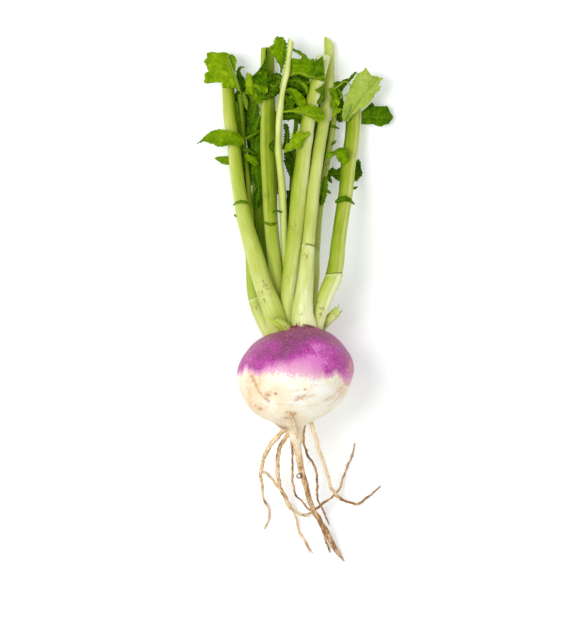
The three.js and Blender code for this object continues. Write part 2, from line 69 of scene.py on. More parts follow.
# ---------- curves and noise ----------
WAVES = 9  # how many waves a wobble adds up


def path_length(path):
    """How far each of its points is along the path."""
    return np.concatenate([[0], np.cumsum(np.linalg.norm(np.diff(path[:, :3], axis=0), axis=1))])


def smooth(rows, spacing):
    """Points about spacing apart on a smooth curve through rows. Columns after the third go along."""
    rows = np.array(rows, float)
    chord = path_length(rows)
    slope = np.gradient(rows, chord, axis=0)
    t = np.linspace(0, chord[-1], max(4, round(chord[-1] / spacing) + 1))
    i = np.clip(np.searchsorted(chord, t, side="right") - 1, 0, len(rows) - 2)
    h = (chord[i + 1] - chord[i])[:, None]
    u = (t - chord[i])[:, None] / h
    return ((1 + 2 * u) * (1 - u) ** 2 * rows[i] + u * (1 - u) ** 2 * h * slope[i]
            + u * u * (3 - 2 * u) * rows[i + 1] + u * u * (u - 1) * h * slope[i + 1])


def along_line(points, count):
    """count points evenly spaced along a line with corners, and the line's length."""
    points = np.array(points, float)
    chord = path_length(points)
    t = np.linspace(0, chord[-1], count)
    return np.stack([np.interp(t, chord, column) for column in points.T], axis=1), chord[-1]


def unit(v):
    return v / np.maximum(np.linalg.norm(v, axis=-1, keepdims=True), 1e-12)


def wobble(points, wavelength, seed):
    """A smooth random value, mostly between -1 and 1, at each point."""
    rng = np.random.default_rng(seed)
    total = np.zeros(points.shape[:-1])
    for _ in range(WAVES):
        direction = unit(rng.normal(size=3))[: points.shape[-1]]
        pitch = 2 * math.pi / wavelength * rng.uniform(0.7, 1.4)
        total += np.sin(points @ direction * pitch + rng.uniform(0, 2 * math.pi))
    return total / math.sqrt(WAVES)


def step_up(x, low, high):
    """0 below low, 1 above high, smooth between."""
    t = np.clip((x - low) / (high - low), 0, 1)
    return t * t * (3 - 2 * t)


# ---------- meshes ----------


def new_piece(name, points, faces, material, replaced=(), attributes=None):
    """A mesh piece from an array of points in the tables' millimetres and a list of faces. It rides on the
    turnip's one body. attributes are values or vectors at the points, by name."""
    mesh = bpy.data.meshes.new(name)
    mesh.from_pydata((HOME + points * MM).tolist(), [], faces)
    for key, values in (attributes or {}).items():
        vector = values.ndim == 2
        layer = mesh.attributes.new(key, "FLOAT_VECTOR" if vector else "FLOAT", "POINT")
        layer.data.foreach_set("vector" if vector else "value", values.astype(np.float32).ravel())
    mesh.polygons.foreach_set("use_smooth", [True] * len(mesh.polygons))
    mesh.materials.append(material)
    mesh.validate()
    piece = bpy.data.objects.new(name, mesh)
    bpy.context.scene.collection.objects.link(piece)
    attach(piece, "root")
    if replaced:
        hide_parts(*replaced)


def grid_faces(rows, columns, closed):
    """An array of quads between neighbouring rows of points. closed joins the last column to the first."""
    r = np.arange(rows - 1)[:, None]
    c = np.arange(columns if closed else columns - 1)[None, :]
    after = (c + 1) % columns
    a, b = r * columns + c, r * columns + after
    return np.stack([a, a + columns, b + columns, b], axis=-1).reshape(-1, 4)


def loft(rings, ends):
    """Points and a list of faces of a closed tube: rings of points, with one more point to close each end."""
    count, sides = rings.shape[:2]
    points = np.concatenate([rings.reshape(-1, 3), ends])
    quads = grid_faces(count, sides, closed=True).tolist()
    k = np.arange(sides)
    first = np.stack([np.full(sides, count * sides), k, (k + 1) % sides], axis=1)
    last = np.stack([np.full(sides, count * sides + 1), (count - 1) * sides + (k + 1) % sides,
                     (count - 1) * sides + k], axis=1)
    return points, quads + first.tolist() + last.tolist()


def frames(path):
    """The directions along, sideways and upward at each point of a path."""
    along = unit(np.gradient(path, axis=0))
    side = unit(np.cross(UP, along))
    return along, side, np.cross(along, side)


# ---------- node materials ----------


def seen(red, green, blue):
    """The colour for a shader's socket that looks like these display values, from 0 to 255, in this light."""
    def one(value):
        value /= 255
        value = value / 12.92 if value <= 0.04045 else ((value + 0.055) / 1.055) ** 2.4
        return value / LIGHT_LEVEL
    return one(red), one(green), one(blue), 1.0


class Shader:
    """One node material. Each method adds a node and returns its output."""

    def __init__(self, name, **sockets):
        self.material = bpy.data.materials.new(name)
        self.material.use_nodes = True
        self.tree = self.material.node_tree
        self.surface = self.tree.nodes["Principled BSDF"]
        for key, value in sockets.items():
            self.surface.inputs[key.replace("_", " ")].default_value = value

    def link(self, socket, value):
        if isinstance(value, bpy.types.NodeSocket):
            self.tree.links.new(value, socket)
        else:
            socket.default_value = value

    def add(self, kind, **settings):
        node = self.tree.nodes.new(kind)
        for key, value in settings.items():
            setattr(node, key, value)
        return node

    def value(self, name):
        return self.add("ShaderNodeAttribute", attribute_name=name).outputs["Fac"]

    def vector(self, name):
        return self.add("ShaderNodeAttribute", attribute_name=name).outputs["Vector"]

    def scaled(self, vector, scale):
        """The vector times the scale, which is one number or one for each axis."""
        node = self.add("ShaderNodeMapping", vector_type="POINT")
        self.link(node.inputs["Vector"], vector)
        node.inputs["Scale"].default_value = scale if isinstance(scale, tuple) else (scale,) * 3
        return node.outputs["Vector"]

    def noise(self, vector, scale, detail=3.0, roughness=0.55, distortion=0.0):
        place = self.scaled(vector, scale)
        node = self.add("ShaderNodeTexNoise")
        self.link(node.inputs["Vector"], place)
        for key, value in (("Scale", 1.0), ("Detail", detail), ("Roughness", roughness),
                           ("Distortion", distortion)):
            node.inputs[key].default_value = value
        return node.outputs[0]

    def jittered(self, vector, scale, amount):
        """The vector moved about by a noise, so that a pattern on it isn't regular."""
        noise = self.add("ShaderNodeTexNoise")
        self.link(noise.inputs["Vector"], vector)
        noise.inputs["Scale"].default_value = scale
        node = self.add("ShaderNodeVectorMath", operation="MULTIPLY_ADD")
        self.link(node.inputs[0], noise.outputs["Color"])
        node.inputs[1].default_value = (amount, amount, amount)
        self.link(node.inputs[2], vector)
        return node.outputs[0]

    def cells(self, vector, scale):
        """How far each point is from the edge of its cell."""
        place = self.scaled(vector, scale)
        node = self.add("ShaderNodeTexVoronoi", feature="DISTANCE_TO_EDGE")
        self.link(node.inputs["Vector"], place)
        node.inputs["Scale"].default_value = 1.0
        return node.outputs["Distance"]

    def calc(self, operation, a, b):
        node = self.add("ShaderNodeMath", operation=operation)
        self.link(node.inputs[0], a)
        self.link(node.inputs[1], b)
        return node.outputs[0]

    def spread(self, value, low, high, to_low=0.0, to_high=1.0):
        node = self.add("ShaderNodeMapRange", clamp=True, interpolation_type="SMOOTHSTEP")
        for key, number in (("Value", value), ("From Min", low), ("From Max", high),
                            ("To Min", to_low), ("To Max", to_high)):
            self.link(node.inputs[key], number)
        return node.outputs[0]

    def varied(self, value, noise, amount, low=0.3):
        """The value plus or minus up to amount, as the noise goes from low to as far above the middle."""
        return self.calc("ADD", value, self.spread(noise, low, 1 - low, -amount, amount))

    def ramp(self, value, stops):
        """stops are (place, colour) pairs, with each colour as three display values."""
        node = self.add("ShaderNodeValToRGB")
        self.link(node.inputs[0], value)
        elements = node.color_ramp.elements
        while len(elements) < len(stops):
            elements.new(0.5)
        for element, (place, colour) in zip(elements, stops):
            element.position = place
            element.color = seen(*colour)
        return node.outputs[0]

    def mix(self, amount, a, b):
        """a where the amount is 0, b where it is 1. Each is a socket or a colour's three display values."""
        node = self.add("ShaderNodeMix", data_type="RGBA")
        self.link(node.inputs[0], amount)
        for socket, colour in ((6, a), (7, b)):
            self.link(node.inputs[socket], seen(*colour) if isinstance(colour, tuple) else colour)
        return node.outputs[2]

    def tinted(self, colour, *tints):
        """The colour with tints over it, each as (noise, where it starts, where it is full, amount, tint)."""
        for noise, start, full, amount, tint in tints:
            colour = self.mix(self.spread(noise, start, full, 0.0, amount), colour, tint)
        return colour

    def bump(self, height, strength, distance, under=None):
        node = self.add("ShaderNodeBump")
        self.link(node.inputs["Height"], height)
        node.inputs["Strength"].default_value = strength
        node.inputs["Distance"].default_value = distance * MM
        if under is not None:
            self.link(node.inputs["Normal"], under)
        return node.outputs[0]

    def finish(self, colour, roughness, normal):
        self.link(self.surface.inputs["Base Color"], colour)
        self.link(self.surface.inputs["Roughness"], roughness)
        self.link(self.surface.inputs["Normal"], normal)
        return self.material


def stalk_material():
    """Stalk skin. The tone attribute runs from 0, deep olive green, to 1, nearly white green."""
    s = Shader("stalk_skin", Subsurface_Weight=0.1, Subsurface_Scale=0.0015, Specular_IOR_Level=0.22,
               Subsurface_Radius=(0.7, 1.0, 0.2), Specular_Tint=(0.85, 1.0, 0.6, 1.0))
    straight = s.vector("straight")
    streaks = s.noise(straight, (1.3, 1.3, 0.035), 4.0, 0.6)
    fibres = s.noise(straight, (5.5, 5.5, 0.09), 3.0, 0.7)
    clouds = s.noise(straight, (0.16, 0.16, 0.05), 3.0)
    tone = s.varied(s.value("tone"), streaks, 0.05)
    tone = s.varied(tone, fibres, 0.03)
    tone = s.varied(tone, clouds, 0.07)
    colour = s.ramp(tone, [(0.0, (56, 82, 0)), (0.22, (114, 142, 6)), (0.46, (162, 180, 46)),
                           (0.7, (190, 203, 92)), (0.86, (214, 223, 136)), (1.0, (242, 246, 190))])
    colour = s.tinted(colour, (s.noise(straight, (1.5, 1.5, 0.8), 2.0), 0.68, 0.75, 0.5, (126, 146, 50)),
                      (s.noise(straight, (3.4, 3.4, 2.6), 1.0), 0.76, 0.8, 0.6, (104, 88, 40)))
    bruise = s.noise(straight, (0.75, 0.75, 0.5), 5.0, 0.75)
    bruise = s.calc("MULTIPLY", s.value("bruise"), s.spread(bruise, 0.5, 0.57, 0.0, 0.85))
    colour = s.mix(bruise, colour, (128, 98, 62))
    colour = s.mix(s.value("lip"), colour, (226, 232, 160))
    # Dark green along each snap: painted shade in the crack.
    colour = s.mix(s.value("painted_crease_shade"), colour, (84, 104, 8))
    pith = s.noise(straight, 2.5, 3.0)
    pith = s.ramp(pith, [(0.3, (206, 220, 146)), (0.7, (240, 243, 206))])
    colour = s.mix(s.spread(s.value("cut"), 0.02, 0.3), colour, pith)
    height = s.calc("ADD", fibres, s.calc("MULTIPLY", streaks, 1.6))
    return s.finish(colour, s.spread(clouds, 0.3, 0.7, 0.36, 0.5), s.bump(height, 0.3, 0.1))


def leaf_material(name, stops, vein, net_amount, gloss=0.4):
    """A thin blade with veins and a puckered surface. stops are its colours over the tone attribute, vein is
    the colour of its veins and edge, and net_amount is how much its finest veins show."""
    s = Shader(name, Subsurface_Weight=0.12, Subsurface_Scale=0.001, Specular_IOR_Level=0.06,
               Subsurface_Radius=(0.6, 1.0, 0.1), Specular_Tint=(0.8, 1.0, 0.3, 1.0))
    blade = s.vector("blade")
    patches = s.noise(blade, 0.2, 4.0, 0.6)
    fine = s.noise(blade, 1.5, 3.0, 0.65)
    tone = s.varied(s.value("tone"), patches, 0.08)
    tone = s.varied(tone, fine, 0.06)
    net = s.cells(s.jittered(blade, 0.5, 1.6), 0.6)
    folds = s.cells(s.jittered(blade, 0.22, 7.0), 0.2)
    # Darker along the fold lines: painted shade in the creases.
    tone = s.calc("ADD", tone, s.spread(folds, 0.0, 0.2, -0.07, 0.02))
    colour = s.ramp(tone, stops)
    colour = s.mix(s.spread(net, 0.0, 0.08, net_amount, 0.0), colour, vein)
    colour = s.mix(s.calc("MULTIPLY", s.value("vein"), 0.7), colour, vein)
    colour = s.tinted(colour, (s.value("edge"), 0.94, 1.0, 0.25, vein))
    puckers = s.calc("ADD", s.spread(net, 0.0, 0.3), s.calc("MULTIPLY", fine, 0.5))
    puckers = s.calc("ADD", puckers, s.spread(folds, 0.0, 0.4, 0.0, 1.6))
    return s.finish(colour, s.spread(patches, 0.3, 0.7, gloss, gloss + 0.16), s.bump(puckers, 0.5, 0.25))


def root_material(name, pale, tan, dark):
    """Root bark: tan with darker patches, fine wrinkles along it and small cracks across it."""
    s = Shader(name, Subsurface_Weight=0.05, Subsurface_Scale=0.001, Specular_IOR_Level=0.2)
    straight = s.vector("straight")
    patches = s.noise(straight, (0.3, 0.3, 0.13), 5.0, 0.7)
    # Darker on the sides and underside: painted shade.
    patches = s.calc("ADD", patches, s.calc("MULTIPLY", s.value("soil_and_painted_shade"), 0.13))
    colour = s.ramp(patches, [(0.42, pale), (0.53, tan), (0.64, dark)])
    wrinkles = s.noise(straight, (1.5, 1.5, 0.3), 4.0, 0.7)
    rings = s.noise(straight, (0.3, 0.3, 0.9), 4.0, 0.65)
    grain = s.noise(straight, 5.0, 2.0)
    colour = s.tinted(colour, (wrinkles, 0.53, 0.68, 0.75, dark), (rings, 0.58, 0.68, 0.6, dark),
                      (grain, 0.5, 0.72, 0.5, pale))
    height = s.calc("ADD", wrinkles, s.calc("ADD", rings, s.calc("MULTIPLY", grain, 0.4)))
    return s.finish(colour, s.spread(patches, 0.3, 0.7, 0.6, 0.8), s.bump(height, 0.7, 0.25))


def skin_material():
    """The bulb: purple round the crown, breaking up into pink and then cream, with scars and specks."""
    s = Shader("turnip_skin", Subsurface_Weight=0.06, Subsurface_Scale=0.0015, Specular_IOR_Level=0.3,
               Subsurface_Radius=(1.0, 0.7, 0.5))
    straight = s.vector("straight")
    streaks = s.noise(straight, (0.42, 0.12, 0.42), 5.0, 0.7, 0.8)
    clouds = s.noise(straight, 0.1, 4.0, 0.65, 0.8)
    mottle = s.noise(straight, (0.85, 0.6, 0.85), 4.0, 0.75, 0.5)
    specks = s.noise(straight, (2.2, 2.0, 2.2), 3.0, 0.7)
    dust = s.noise(straight, 4.6, 2.0, 0.6)
    rim = s.value("crown")
    vivid = s.varied(s.value("vivid"), clouds, 0.22)
    vivid = s.varied(vivid, mottle, 0.2, 0.32)
    purple = s.ramp(vivid, [(0.0, (132, 56, 100)), (0.25, (152, 46, 130)), (0.5, (182, 46, 154)),
                            (0.75, (204, 68, 180)), (1.0, (230, 128, 206))])
    purple = s.tinted(
        purple, (streaks, 0.5, 0.74, 0.3, (220, 138, 190)), (mottle, 0.46, 0.3, 0.5, (116, 42, 108)),
        (specks, 0.54, 0.7, 0.34, (228, 170, 196)), (dust, 0.61, 0.68, 0.7, (250, 220, 220)),
        (specks, 0.44, 0.3, 0.4, (112, 46, 92)))
    brown = s.mix(s.spread(mottle, 0.44, 0.6), (138, 52, 88), (190, 114, 138))
    purple = s.mix(rim, purple, brown)
    purple = s.mix(s.calc("MULTIPLY", rim, s.spread(dust, 0.57, 0.66)), purple, (236, 194, 176))
    # The cream's own warm tint, with painted shade at the left rim and painted light at the lower right; its
    # palest stop, above white, is painted light too.
    warmth_and_painted_light = s.varied(s.value("warmth_and_painted_light"), clouds, 0.2)
    warmth_and_painted_light = s.varied(warmth_and_painted_light, mottle, 0.14, 0.35)
    cream = s.ramp(warmth_and_painted_light, [(0.0, (260, 258, 248)), (0.35, (255, 245, 216)), (0.7, (251, 231, 198)),
                          (1.0, (240, 208, 162))])
    cream = s.tinted(
        cream, (specks, 0.58, 0.72, 0.4, (234, 200, 154)), (streaks, 0.6, 0.8, 0.3, (238, 210, 166)),
        (dust, 0.66, 0.74, 0.6, (204, 156, 104)))
    belt = s.value("belt")
    for noise, amount in ((streaks, 0.45), (mottle, 0.9), (specks, 0.5)):
        belt = s.calc("ADD", belt, s.calc("MULTIPLY", s.calc("SUBTRACT", noise, 0.5), amount))
    colour = s.mix(s.spread(belt, -0.1, 0.24), cream, (240, 178, 208))
    colour = s.mix(s.spread(belt, 0.16, 0.9), colour, purple)
    ragged = s.noise(straight, 1.1, 4.0, 0.75)
    stain = s.calc("MULTIPLY", s.value("stain"), s.spread(ragged, 0.36, 0.62, 0.0, 0.8))
    colour = s.mix(stain, colour, (226, 186, 132))
    scar = s.calc("MULTIPLY", s.value("scar"), s.spread(ragged, 0.32, 0.52))
    colour = s.mix(scar, colour, (206, 146, 92))
    colour = s.tinted(colour, (s.value("blush"), 0.1, 1.0, 0.85, (196, 112, 84)))
    bark = s.noise(straight, (1.4, 0.3, 1.4), 5.0, 0.75)
    # Darker on the tap root's sides and underside, painted shade, and on its own dark patches.
    bark = s.calc("ADD", bark, s.calc("MULTIPLY", s.value("soil_and_painted_shade"), 0.12))
    bark = s.ramp(bark, [(0.41, (255, 236, 202)), (0.53, (234, 198, 150)), (0.68, (154, 106, 58))])
    colour = s.mix(s.spread(s.value("bark"), 0.0, 1.0), colour, bark)
    collar = s.calc("MULTIPLY", s.value("collar"), s.spread(ragged, 0.28, 0.52))
    colour = s.mix(collar, colour, (164, 116, 70))
    height = s.calc("ADD", s.calc("MULTIPLY", streaks, 1.2), s.calc("MULTIPLY", specks, 0.35))
    return s.finish(colour, s.spread(clouds, 0.3, 0.7, 0.36, 0.5), s.bump(height, 0.25, 0.25))


SKIN = skin_material()
STALK = stalk_material()
LEAF = leaf_material("leaf_green", [
    (0.0, (22, 60, 0)), (0.22, (50, 94, 0)), (0.45, (84, 126, 0)), (0.68, (114, 150, 2)),
    (0.86, (138, 168, 14)), (1.0, (170, 194, 40))], (168, 194, 44), 0.22)
# The underside's veins are darker than its blade: painted shade beside the raised ribs.
LEAF_UNDER = leaf_material("leaf_underside", [(0.0, (132, 162, 44)), (0.5, (166, 190, 70)),
                                              (1.0, (192, 208, 110))], (128, 158, 44), 0.42, 0.55)
LEAF_FOLD = leaf_material("leaf_fold", [(0.0, (100, 132, 22)), (0.5, (128, 156, 48)),
                                        (1.0, (158, 182, 84))], (168, 190, 96), 0.3, 0.5)
THREAD = leaf_material("torn_thread", [(0.2, (184, 208, 24)), (0.8, (214, 230, 60))],
                       (222, 236, 96), 0.1)
ROOT_NECK = root_material("root_neck", (255, 238, 206), (246, 220, 180), (206, 164, 114))
ROOT_PALE = root_material("root_pale", (253, 231, 192), (236, 200, 148), (154, 102, 54))
ROOT_TAN = root_material("root_tan", (228, 194, 146), (194, 150, 98), (110, 72, 36))
ROOT_BROWN = root_material("root_brown", (176, 132, 86), (132, 90, 50), (78, 48, 22))
SCALE = root_material("crown_scale", (150, 104, 84), (110, 62, 66), (64, 34, 36))

# ---------- the bulb and its tap root ----------
# The bulb's outline from the crown to the neck, as [distance along Y, radius, sideways shift].
BULB_PROFILE = [
    [31.1, 1.5, 4.2], [31, 6, 4.1], [30.5, 11, 3.8], [29, 17, 3.4], [26, 22.8, 2.4], [22, 28, 1.6],
    [17, 32.2, 1.4], [12, 35.3, 0.9], [7, 36.9, 0.4], [2, BULB_RADIUS, 0], [-3, 37, -0.3], [-8, 35.8, -0.7],
    [-13, 33.4, -1.3], [-18, 30.2, -2], [-22.6, 25.6, -2.8], [-26.6, 19.4, -2.9], [-28.9, 14, -2.5],
    [-31.2, 9.4, -2.2], [-33.6, 6.6, -1.4], [-36, 5.2, -0.6], [-39, 4.4, 0.1],
]
# Routes are rows of [x, y, z, width].
TAPROOT = [
    [0.6, -41.5, 35.3, 7.6], [1, -44.7, 34.4, 5.8], [2.2, -51, 32.2, 4.7], [3.8, -60.7, 28.3, 4],
    [6.7, -70.3, 24.2, 3.8], [9.1, -80, 19.8, 3.5], [11.5, -86.5, 16.8, 3.3], [15.2, -92.8, 13.6, 3.6],
    [20.5, -102.4, 8.9, 3.8], [24, -108.9, 6, 3.4], [27.8, -115.3, 3.4, 2.7], [31.5, -120.4, 1, 0.8],
]
# Spots on the skin that faces up: [x, y, radius along x, radius along y]. The first are dusty brown skin.
SHEEN = [
    [-26, 21.4, 5, 3.2], [-18, 25, 6, 3], [-31.5, 15, 3.4, 5], [-9, 28, 7, 2.2], [33.5, 14, 2.4, 8],
    [26, 22, 5, 2.6],
]
SCARS = [
    [36.3, 5.8, 0.8, 4], [-28.4, 0.4, 1.5, 1.3], [-27.2, -1.8, 0.9, 1.4], [-17.6, -11.6, 1.7, 1.5],
    [3.4, -13.2, 2.6, 1.1], [0.6, -14.9, 1.7, 0.8], [5.8, -12, 1.2, 0.7], [-22.6, -20.7, 1.5, 1.1],
    [-25.2, -18.6, 0.7, 0.9], [-0.8, -23.9, 1.3, 1], [-5.6, -22.9, 0.8, 0.7], [-6.2, -26.7, 2, 0.8],
    [34.2, -4.9, 1.1, 1.1],
]
BLUSHES = [[-12.8, -10.8, 1.2, 1.1], [6.1, -8, 1.1, 0.8]]
# Scratches on the skin that faces up: lines of [x, y], with half of their width first.
SCRATCHES = [
    (0.5, [[-28, 0.5], [-25.9, -4.2], [-23.3, -9.4], [-19.6, -13.6], [-17, -15.7]]),
    (0.16, [[-3.9, -8.9], [5.6, -8.2]]), (0.16, [[6.6, -13.6], [12.8, -11.5]]),
    (0.2, [[20.7, -18.9], [27, -14], [33.8, -6.4]]), (0.18, [[23.4, -12], [28.4, -8.6], [32.2, -3.4]]),
    (0.18, [[17.6, -16], [24, -11.6], [29.6, -6.8]]), (0.15, [[-12, -17.2], [-4, -18.2], [3, -17.4]]),
    (0.15, [[8, -19], [14, -17.6]]), (0.14, [[-30, -8], [-26.4, -14.2], [-21, -18.6]]),
    (0.15, [[10, -4.6], [16.4, -5.4], [22, -3.8]]), (0.13, [[-20, 0.8], [-9, 1.2], [0, 0.4]]),
]
# Where the purple ends on the side that faces up: [x, y of the edge, softness].
PURPLE_EDGE = [
    [-38, 0, 2], [-35, 3.2, 2.6], [-32.6, 6, 3], [-30, 3.6, 2.6], [-25, 3, 3], [-20.5, 4.6, 3.4],
    [-15.5, 5, 4.6], [-10.5, 6.6, 5.5], [-4, 5.6, 7], [3, 4.6, 7.5], [9.5, 4.8, 8], [15, 2.2, 5.5],
    [20, 0.8, 2.8], [23.4, 2, 2.8], [26.6, 3.4, 3], [29.8, 0, 3], [32.6, -2.6, 4], [35, -2, 4.4], [38, 1, 4],
]
# Patches of the purple: [x, y, radius along x, radius along y, how pale]. The first and palest is partly the
# skin's pale pink and partly a painted highlight of glare.
PATCHES = [
    [9, 9, 11, 6, 0.72], [-12, 9, 9, 3, 0.3], [0, 17, 6, 4, -0.25], [13, 19, 7, 4, 0.2], [33, 0, 4, 5, 0.4],
    [-20, 14, 9, 5, -0.32], [-7, 17, 5, 8, -0.3], [3, 27, 13, 4, -0.3], [-22, 22, 8, 3, -0.05],
    [21, 6, 4, 5, 0.05], [26, 20, 6, 6, 0.0], [-30, 12, 4, 6, 0.2],
]
# Faint tan stains on the cream skin: [x, y, radius along x, radius along y].
STAINS = [
    [35.8, 6.3, 1.5, 4.4], [36, 4, 1.2, 3], [-27, -1.4, 2.6, 2.4], [-24.4, -6, 1.6, 4],
    [-18.2, -11.4, 3, 2.2], [3.4, -13.4, 5, 1.8], [8.6, -11.8, 4, 1.2], [-22.8, -20.4, 3.4, 1.6],
    [-1.8, -23.6, 3.4, 1.6], [29, -9, 5, 8], [34, -12, 2, 4], [-29, -14, 2, 6], [-8, -28, 5, 2],
    [22, -13.6, 5, 2],
]
# Dark patches of the tap root: [x, y, radius along x, radius along y].
SOIL = [
    [3.4, -58, 1.4, 5], [6.5, -66.5, 1.6, 3], [8, -74, 1, 4], [16, -95, 2, 4], [19, -101, 1.6, 4],
    [25, -111, 1, 4], [-1.6, -44, 1.4, 3],
]
HIDDEN_SCARS = 60  # tries at placing more scars, kept on the sides and underneath
LEAF_RINGS = (29.7, 27.6, 24.6)  # the y of faint rings left by older leaves
NECK_WRINKLES = (-24.6, -27.4, -29.2, -30.8, -32.2, -34.6, -36.4)  # their y, where the bulb draws in
LIP = [6.6, 17, 2.6]  # the crown's upper edge rises towards the stalks: [middle, half width, rise]
BULB_SIDES = 320
RING_SPACING = 0.5


def bulb_rings():
    """The middle, radius and direction of each ring of the bulb and tap root, and how many are the bulb's."""
    profile = smooth([[radius, y, 0, shift] for y, radius, shift in BULB_PROFILE], RING_SPACING)
    middles = np.stack([profile[:, 3], profile[:, 1], np.full(len(profile), BULB_HEIGHT)], axis=1)
    tail = smooth(TAPROOT, RING_SPACING)
    along = unit(np.gradient(np.concatenate([[[0.1, -38, 36.2]], tail[:, :3]]), axis=0))[1:]
    along = np.concatenate([np.tile([0.0, -1.0, 0.0], (len(profile), 1)), along])
    middles = np.concatenate([middles, tail[:, :3]])
    return middles, np.concatenate([profile[:, 0], tail[:, 3] / 2]), along, len(profile)


def purple_share(points):
    """How purple the skin is, from 0 to 1: all purple at the crown, none below an uneven edge."""
    x, y, z = points[..., 0], points[..., 1], points[..., 2]
    around = np.arctan2(z - BULB_HEIGHT, x)
    ring = np.stack([np.cos(around), np.sin(around), 0 * around], axis=-1)
    behind = 1.8 + 2.8 * wobble(ring, 1.6, 11) + 1.5 * wobble(ring, 0.5, 12)
    line = smooth([[x_at, y_at, 0, soft] for x_at, y_at, soft in PURPLE_EDGE], 0.5)
    front = np.interp(x, line[:, 0], line[:, 1]) + 0.9 * wobble(ring, 0.3, 13) + 0.4 * wobble(ring, 0.1, 14)
    faces_up = step_up(z, BULB_HEIGHT - 2, BULB_HEIGHT + 9)
    edge = behind + (front - behind) * faces_up
    soft = 3.4 + (np.interp(x, line[:, 0], line[:, 3]) - 3.4) * faces_up
    return np.clip((y - edge) / (2 * soft) + 0.38, -0.9, 1.4)


def spots(points, table):
    """1 in the middle of the nearest spot of the table, fading to 0."""
    best = np.zeros(points.shape[:-1])
    for x, y, wide, tall in table:
        far = ((points[..., 0] - x) / wide) ** 2 + ((points[..., 1] - y) / tall) ** 2
        best = np.maximum(best, np.exp(-far))
    return best


def line_mark(points, line, half_width):
    """1 on a line of [x, y] corners, fading to 0 at about half_width from it."""
    best = np.full(points.shape[:-1], 1e9)
    for start, end in zip(line[:-1], line[1:]):
        start, way = np.array(start), np.array(end) - np.array(start)
        t = np.clip(((points[..., :2] - start) @ way) / (way @ way), 0, 1)
        best = np.minimum(best, np.linalg.norm(points[..., :2] - start - t[..., None] * way, axis=-1))
    return np.exp(-(best / half_width) ** 2)


